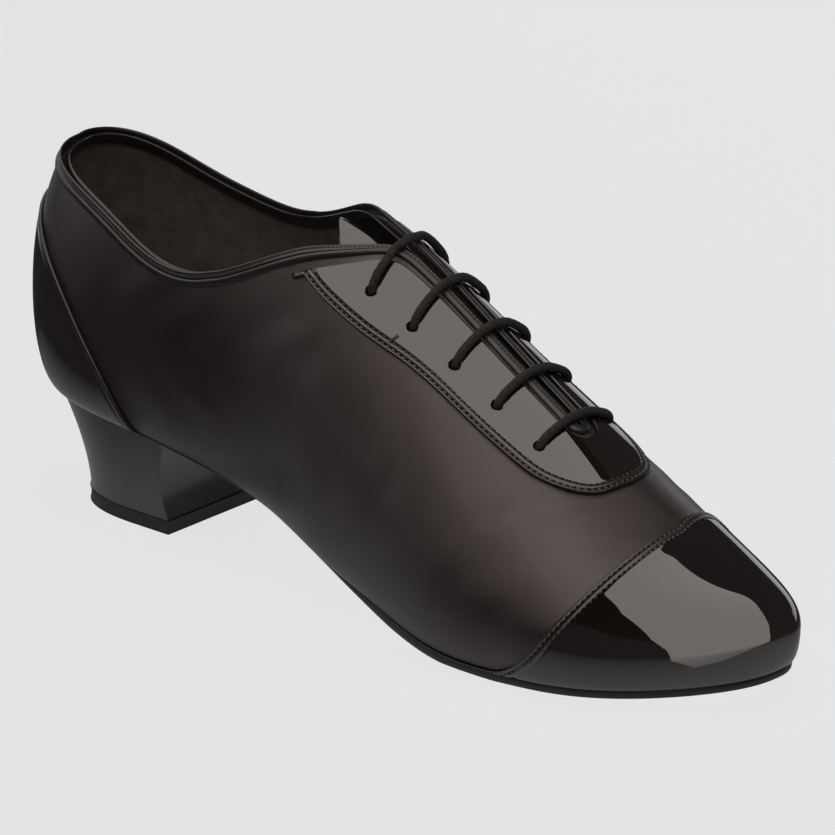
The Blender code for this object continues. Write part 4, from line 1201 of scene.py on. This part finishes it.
panelCard = {"centre": (0.03, -0.01, 0.085), "distance": 1.5, "strength": 1.1, "colour": (1.0, 0.945, 0.90),
             "rows": (((-0.60, 0.25), (0.40, 0.25)), ((-0.58, -0.12), (0.40, -0.20)),
                      ((-0.38, -0.54), (0.40, -0.60)))}
wallCard = {"centre": (0.0, 0.0, 0.05), "distance": 1.6, "strength": 0.8, "colour": (1.0, 1.0, 1.0),
            "rows": (((-0.85, -0.29), (-0.89, 0.08), (-0.75, 0.48), (-0.50, 0.74), (-0.15, 0.88),
                      (0.22, 0.86)),
                     ((-1.09, -0.37), (-1.14, 0.10), (-0.96, 0.62), (-0.65, 0.95), (-0.20, 1.13),
                      (0.28, 1.11)))}
lightCard("frontCard", frontCard, shoePieces)
lightCard("toeCard", toeCard, [cap])
lightCard("farCard", farCard, [cap])
lightCard("panelCard", panelCard, [piece for piece in shoePieces if piece is not cap])
lightCard("wallCard", wallCard, shoePieces)

# the pale table close round the shoe, for the mirror in the patent leather only
table = {"half": (0.150, 0.052), "height": 0.0004, "strength": 0.31, "fadeStart": 1.0, "fadeEnd": 1.8}
ring = np.linspace(0, 2 * math.pi, 64, endpoint=False)
halfLong, halfWide = table["half"]
verts = [(halfLong * table["fadeEnd"] * math.cos(angle), halfWide * table["fadeEnd"] * math.sin(angle),
          table["height"]) for angle in ring]
tablePaper, light, surface = glowPaper("tablePaper", table["strength"], (1, 1, 1))
place = addNode(tablePaper, "ShaderNodeTexCoord").outputs["Object"]
mapping = addNode(tablePaper, "ShaderNodeMapping", Vector=place, Scale=(1 / halfLong, 1 / halfWide, 0))
length = addNode(tablePaper, "ShaderNodeVectorMath", operation="LENGTH", Vector=mapping.outputs["Vector"])
clear = addNode(tablePaper, "ShaderNodeBsdfTransparent")
fade = spreadOf(tablePaper, length.outputs["Value"], 0.0, 1.0, table["fadeStart"], table["fadeEnd"])
faded = addNode(tablePaper, "ShaderNodeMixShader", Fac=fade)
link(tablePaper, light, faded.inputs[1])
link(tablePaper, clear.outputs[0], faded.inputs[2])
link(tablePaper, faded.outputs[0], surface)
tableSheet = stageSheet("tableSheet", verts, [list(range(64))], tablePaper, shoePieces)
tableSheet.visible_diffuse = False
print("studio lit")

camera = {"azimuth": 41.14, "elevation": 20.75, "aim": (0.00125, 0.0032, 0.0512), "distance": 2.0,
          "lens": 293.2}
azimuth = math.radians(camera["azimuth"])
elevation = math.radians(camera["elevation"])
back = Vector((math.sin(azimuth) * math.cos(elevation), -math.cos(azimuth) * math.cos(elevation),
               math.sin(elevation)))
cameraData = bpy.data.cameras.new("studioCamera")
cameraData.lens = camera["lens"]
cameraData.sensor_width = 36.0
cameraData.clip_start = 0.05
cameraData.clip_end = 60.0
cameraObject = bpy.data.objects.new("studioCamera", cameraData)
cameraObject.location = Vector(camera["aim"]) + back * camera["distance"]
cameraObject.rotation_mode = "QUATERNION"
cameraObject.rotation_quaternion = (-back).to_track_quat("-Z", "Y")
bpy.context.scene.collection.objects.link(cameraObject)
bpy.context.scene.camera = cameraObject
bpy.context.scene.view_settings.view_transform = "Standard"
